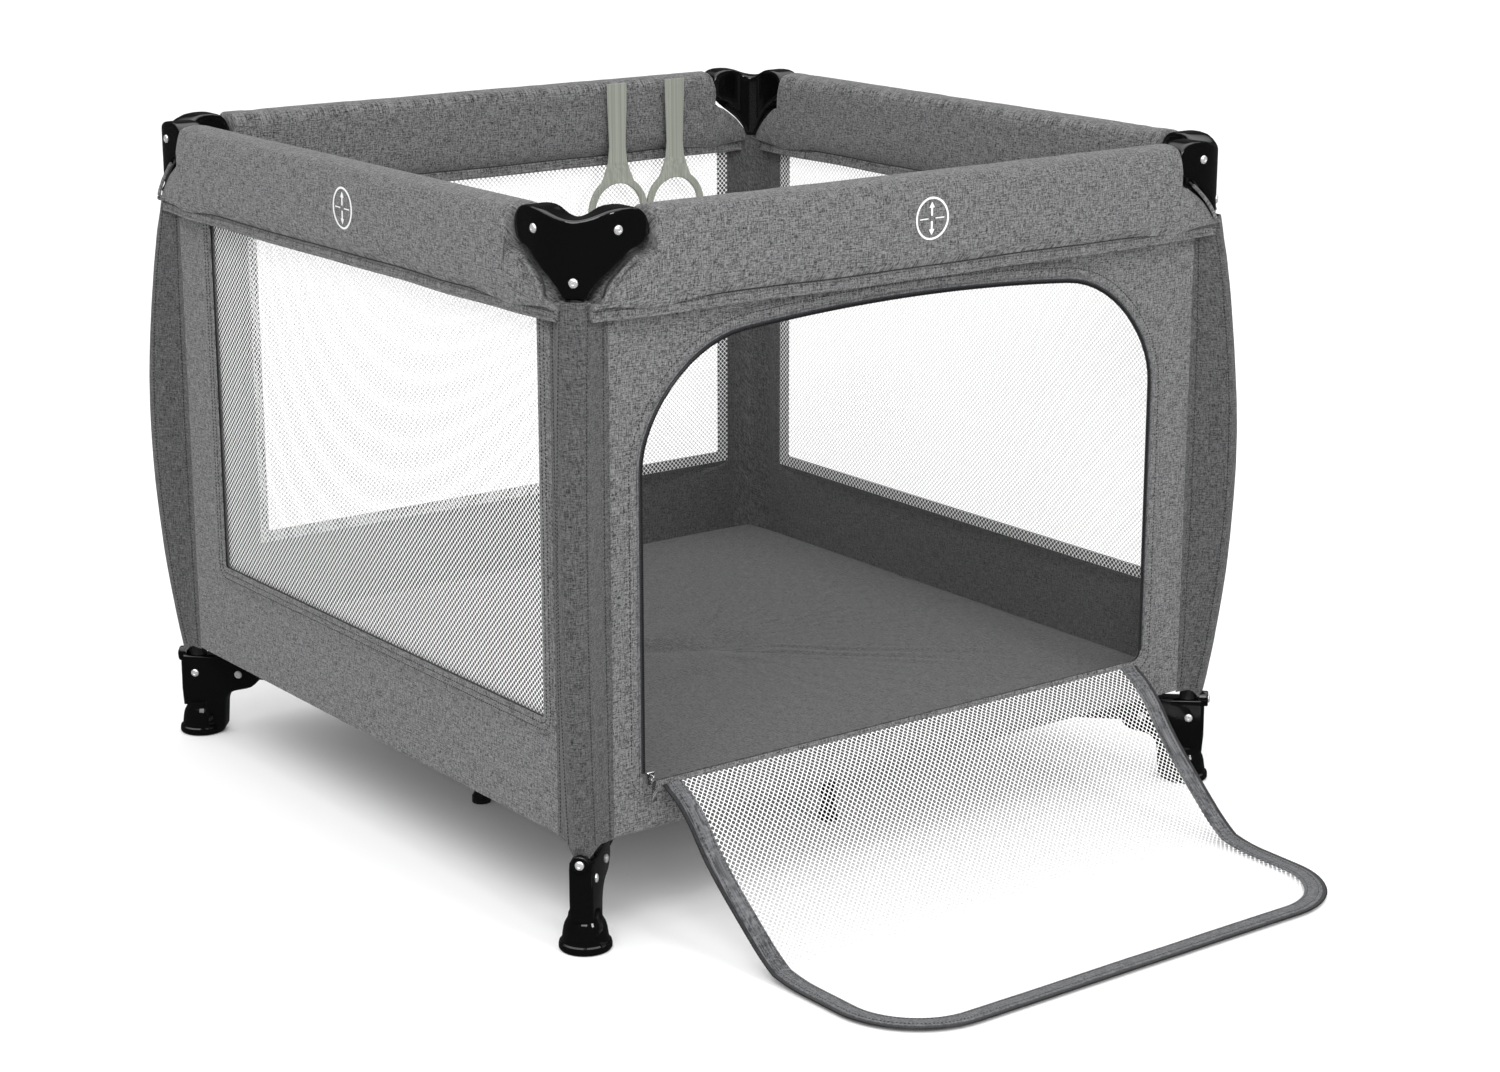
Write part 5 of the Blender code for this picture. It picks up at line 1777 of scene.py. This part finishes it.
def strap_outline():
    """Half of a strap's outline, as (half width, height), from its top to the foot of the ring."""
    ring_z = STRAP_TOP - STRAP_LONG - RING_R - 0.001
    half = [(0.0140, STRAP_TOP - 0.004), (0.0136, STRAP_TOP - 0.030), (0.0122, STRAP_TOP - 0.065),
            (0.0116, STRAP_TOP - 0.085), (0.0136, STRAP_TOP - 0.104), (0.0180, STRAP_TOP - 0.118)]
    for k in range(25):
        turn = math.radians(58 - 148 * k / 24)
        half.append((RING_R * math.cos(turn), ring_z + RING_R * math.sin(turn)))
    return half, ring_z


for strap_name in ("left_pull_strap", "right_pull_strap"):
    low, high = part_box(strap_name)
    middle_x, middle_y = (low.x + high.x) / 2, (low.y + high.y) / 2
    half, ring_z = strap_outline()
    loop = [(x, z) for x, z in half] + [(-x, z) for x, z in half[-2::-1]]
    hole_r = RING_R - RING_THICK
    hole = circle(hole_r, 64, ring_z)
    strap = flat_curve(strap_name, [loop, hole], 0.0052, 0.0012)
    points = points_of(strap)
    for point in points:
        # The webbing itself is thinner than the moulded ring.
        thin = smooth_step((point[2] - ring_z - RING_R) / 0.02)
        point[1] *= 1 - 0.62 * thin
    set_points(strap, points)
    strap.data.transform(Matrix.Translation((middle_x, middle_y, 0)))
    dress(settle(strap, f"{strap_name}_and_ring", 40), WEBBING, strap_name)
    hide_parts(strap_name)
    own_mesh(strap)
print("straps", 2)

# %% [markdown]
# ## Mattress and floor
# The mattress is a thin padded board. It starts as a slightly thinner slab with rounded corners, and the cloth
# solver crowns it. Under it a sheet of cloth spans the cross bars; it is cut in four, one for each bar.

# %% The mattress
MATTRESS_GRID, MATTRESS_RINGS = 64, 24    # points along a side, and rings from the middle to the edge
MATTRESS_SLIM, MATTRESS_PRESSURE, MATTRESS_CAP, MATTRESS_SLACK = 0.004, 0.6, 0.0045, 0.004
RING_COUNT = 4 * MATTRESS_GRID


def mattress_ring(scale, z):
    """A rounded square of points at a share of the pad's full size."""
    half = MATTRESS_HALF - 0.004
    points = []
    for k in range(RING_COUNT):
        edge, share = divmod(k, MATTRESS_GRID)
        u = 2 * share / MATTRESS_GRID - 1
        x, y = ((u, -1), (1, u), (-u, 1), (-1, -u))[edge]
        rounded = 1 - 0.012 * (abs(x * y)) ** 12
        points.append((x * half * scale * rounded, y * half * scale * rounded, z))
    return points


def mattress_base(slim):
    """The pad as rings: out across its underside, up its sides and back across its top."""
    low, high = MATTRESS_LOW + slim * 0.3, MATTRESS_TOP - slim
    rows = [mattress_ring((k + 0.5) / MATTRESS_RINGS, low) for k in range(MATTRESS_RINGS)]
    rows[-1] = mattress_ring(0.992, low)
    rows += [mattress_ring(1.0, low + (high - low) * s) for s in (0.2, 0.5, 0.8)]
    for k in range(MATTRESS_RINGS):
        share = 0.992 if k == 0 else (MATTRESS_RINGS - 0.5 - k) / MATTRESS_RINGS
        rows.append(mattress_ring(share, high))
    return cloth("mattress_pad", rows, closed=True, caps=True)


print("points round the mattress", RING_COUNT)

# %% The swollen mattress
pad = mattress_base(MATTRESS_SLIM)
edge_from = RING_COUNT * MATTRESS_RINGS   # the first point of the sides, after the underside's points
edge_to = edge_from + 3 * RING_COUNT
held = {k: 1.0 for k in range(edge_from)}
for k in range(edge_from, edge_to):
    held[k] = 0.5
grown = blow_up(pad, held, MATTRESS_PRESSURE, MATTRESS_CAP, MATTRESS_SLACK, frames=14)
print("mattress swelled", grown)
# The mattress takes the dark lining heather, painted shade included.
paint_with(uv_from_points(pad, lambda _, co: (co.x + co.z * 0.5, co.y + co.z)), LINING_WITH_PAINTED_SHADE)
piping_path = [Vector(v.co) for v in pad.data.vertices[edge_to - RING_COUNT:edge_to]]
piping_path = [p + Vector((p.x, p.y, 0)).normalized() * 0.0004 + Vector((0, 0, 0.0012)) for p in piping_path]
piping = sweep("piping", piping_path, [Vector((0, 0, 1))] * len(piping_path), round_section(0.0018), closed=True)
piping.data.uv_layers.new(name="cloth")
piping.data.materials.append(LINING_WITH_PAINTED_SHADE)
pad = join(pad, piping)
dress(settle(pad, "mattress_pad", 60), LINING_WITH_PAINTED_SHADE, "mattress")
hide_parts("mattress")
print("mattress faces", len(pad.data.polygons))

# %% The floor cloth in four parts
floor_low, floor_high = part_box("floor_sheet")
for corner, turns in CORNERS.items():
    rows = []
    for i in range(25):
        rows.append([(-(WALL_END - 0.004) * i / 24, -(WALL_END - 0.004) * k / 24,
                      (floor_low.z + floor_high.z) / 2 - 0.0006)
                     for k in range(25)])
    part = cloth(f"{corner}_floor_cloth", rows)
    lay_uv(part, "x")
    shape(part, "SOLIDIFY", thickness=0.0012, offset=0)
    part.data.transform(quarter(turns))
    part.data.materials.append(LINING_WITH_PAINTED_SHADE)
    dress(settle(part, f"{corner}_floor_cloth", 60), LINING_WITH_PAINTED_SHADE, f"{corner}_bar")
    across = quarter(turns) @ Vector((1, -1, 0))
    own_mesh(part)
    declare_sheet(part, WALL_END, WALL_END)
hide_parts("floor_sheet")
print("mattress and floor")

# %% [markdown]
# ## Fold marks
# Each cover has a round white mark over its lock, with arrows up and down to show where to press and pull. They
# are printed, so each is a thin flat shape that is laid on the swollen cover by projecting it.

# %% Printed marks on the covers
MARK_R = 0.0225
MARK_X = {"front": -0.007, "right": 0.0, "rear": 0.0, "left": 0.036}
MARK_Z = 0.714


def mark_mesh(name):
    """A ring with two arrows, as a flat mesh in the XZ plane."""
    verts, faces = [], []

    def strip(points_a, points_b, closed):
        start, count = len(verts), len(points_a)
        verts.extend(points_a + points_b)
        for k in range(count if closed else count - 1):
            a, b = start + k, start + (k + 1) % count
            faces.append((a, b, b + count, a + count))

    steps = 96
    for outer_r, inner_r in ((MARK_R, MARK_R - 0.0022),):
        turns = [2 * math.pi * k / steps for k in range(steps)]
        strip([(outer_r * math.cos(t), 0, outer_r * math.sin(t)) for t in turns],
              [(inner_r * math.cos(t), 0, inner_r * math.sin(t)) for t in turns], True)
    for way in (-1, 1):
        levels = [
            (0.0028, 0.0012), (0.0070, 0.0012), (0.0112, 0.0012), (0.0113, 0.0036), (0.0135, 0.0024),
            (0.0172, 0.0001),
        ]
        strip([(-w, 0, way * z) for z, w in levels], [(w, 0, way * z) for z, w in levels], False)
    for left in (-1, 1):
        strip([(left * 0.0050, 0, -0.0006), (left * 0.0165, 0, -0.0006)],
              [(left * 0.0050, 0, 0.0006), (left * 0.0165, 0, 0.0006)], False)
    mesh = bpy.data.meshes.new(name)
    mesh.from_pydata(verts, [], faces)
    obj = bpy.data.objects.new(name, mesh)
    bpy.context.scene.collection.objects.link(obj)
    return obj


for side, turns in SIDES.items():
    mark = mark_mesh("mark")
    shape(mark, "SUBSURF", subdivision_type="SIMPLE", levels=2, render_levels=2)
    mark.data.transform(Matrix.Translation((MARK_X[side], -RAIL - 0.06, MARK_Z)))
    mark.data.transform(quarter(turns))
    way = quarter(turns) @ Vector((0, 1, 0))
    points = points_of(mark)
    covers = [bpy.data.objects[f"{side}_cover_left"], bpy.data.objects[f"{side}_cover_right"]]
    bpy.context.view_layer.update()
    for k, point in enumerate(points):
        hits = []
        for cover_half in covers:
            hit, at, normal, _ = cover_half.ray_cast(Vector(point), way, distance=0.2)
            if hit:
                hits.append((at - Vector(point)).length)
        if hits:
            points[k] = Vector(point) + way * (min(hits) - 0.0005)
    set_points(mark, points)
    shape(mark, "SOLIDIFY", thickness=0.0004, offset=0)
    face_out(mark)
    dress(settle(mark, f"{side}_fold_mark", 40), PRINT, f"{side}_lock")
print("marks", len(SIDES))
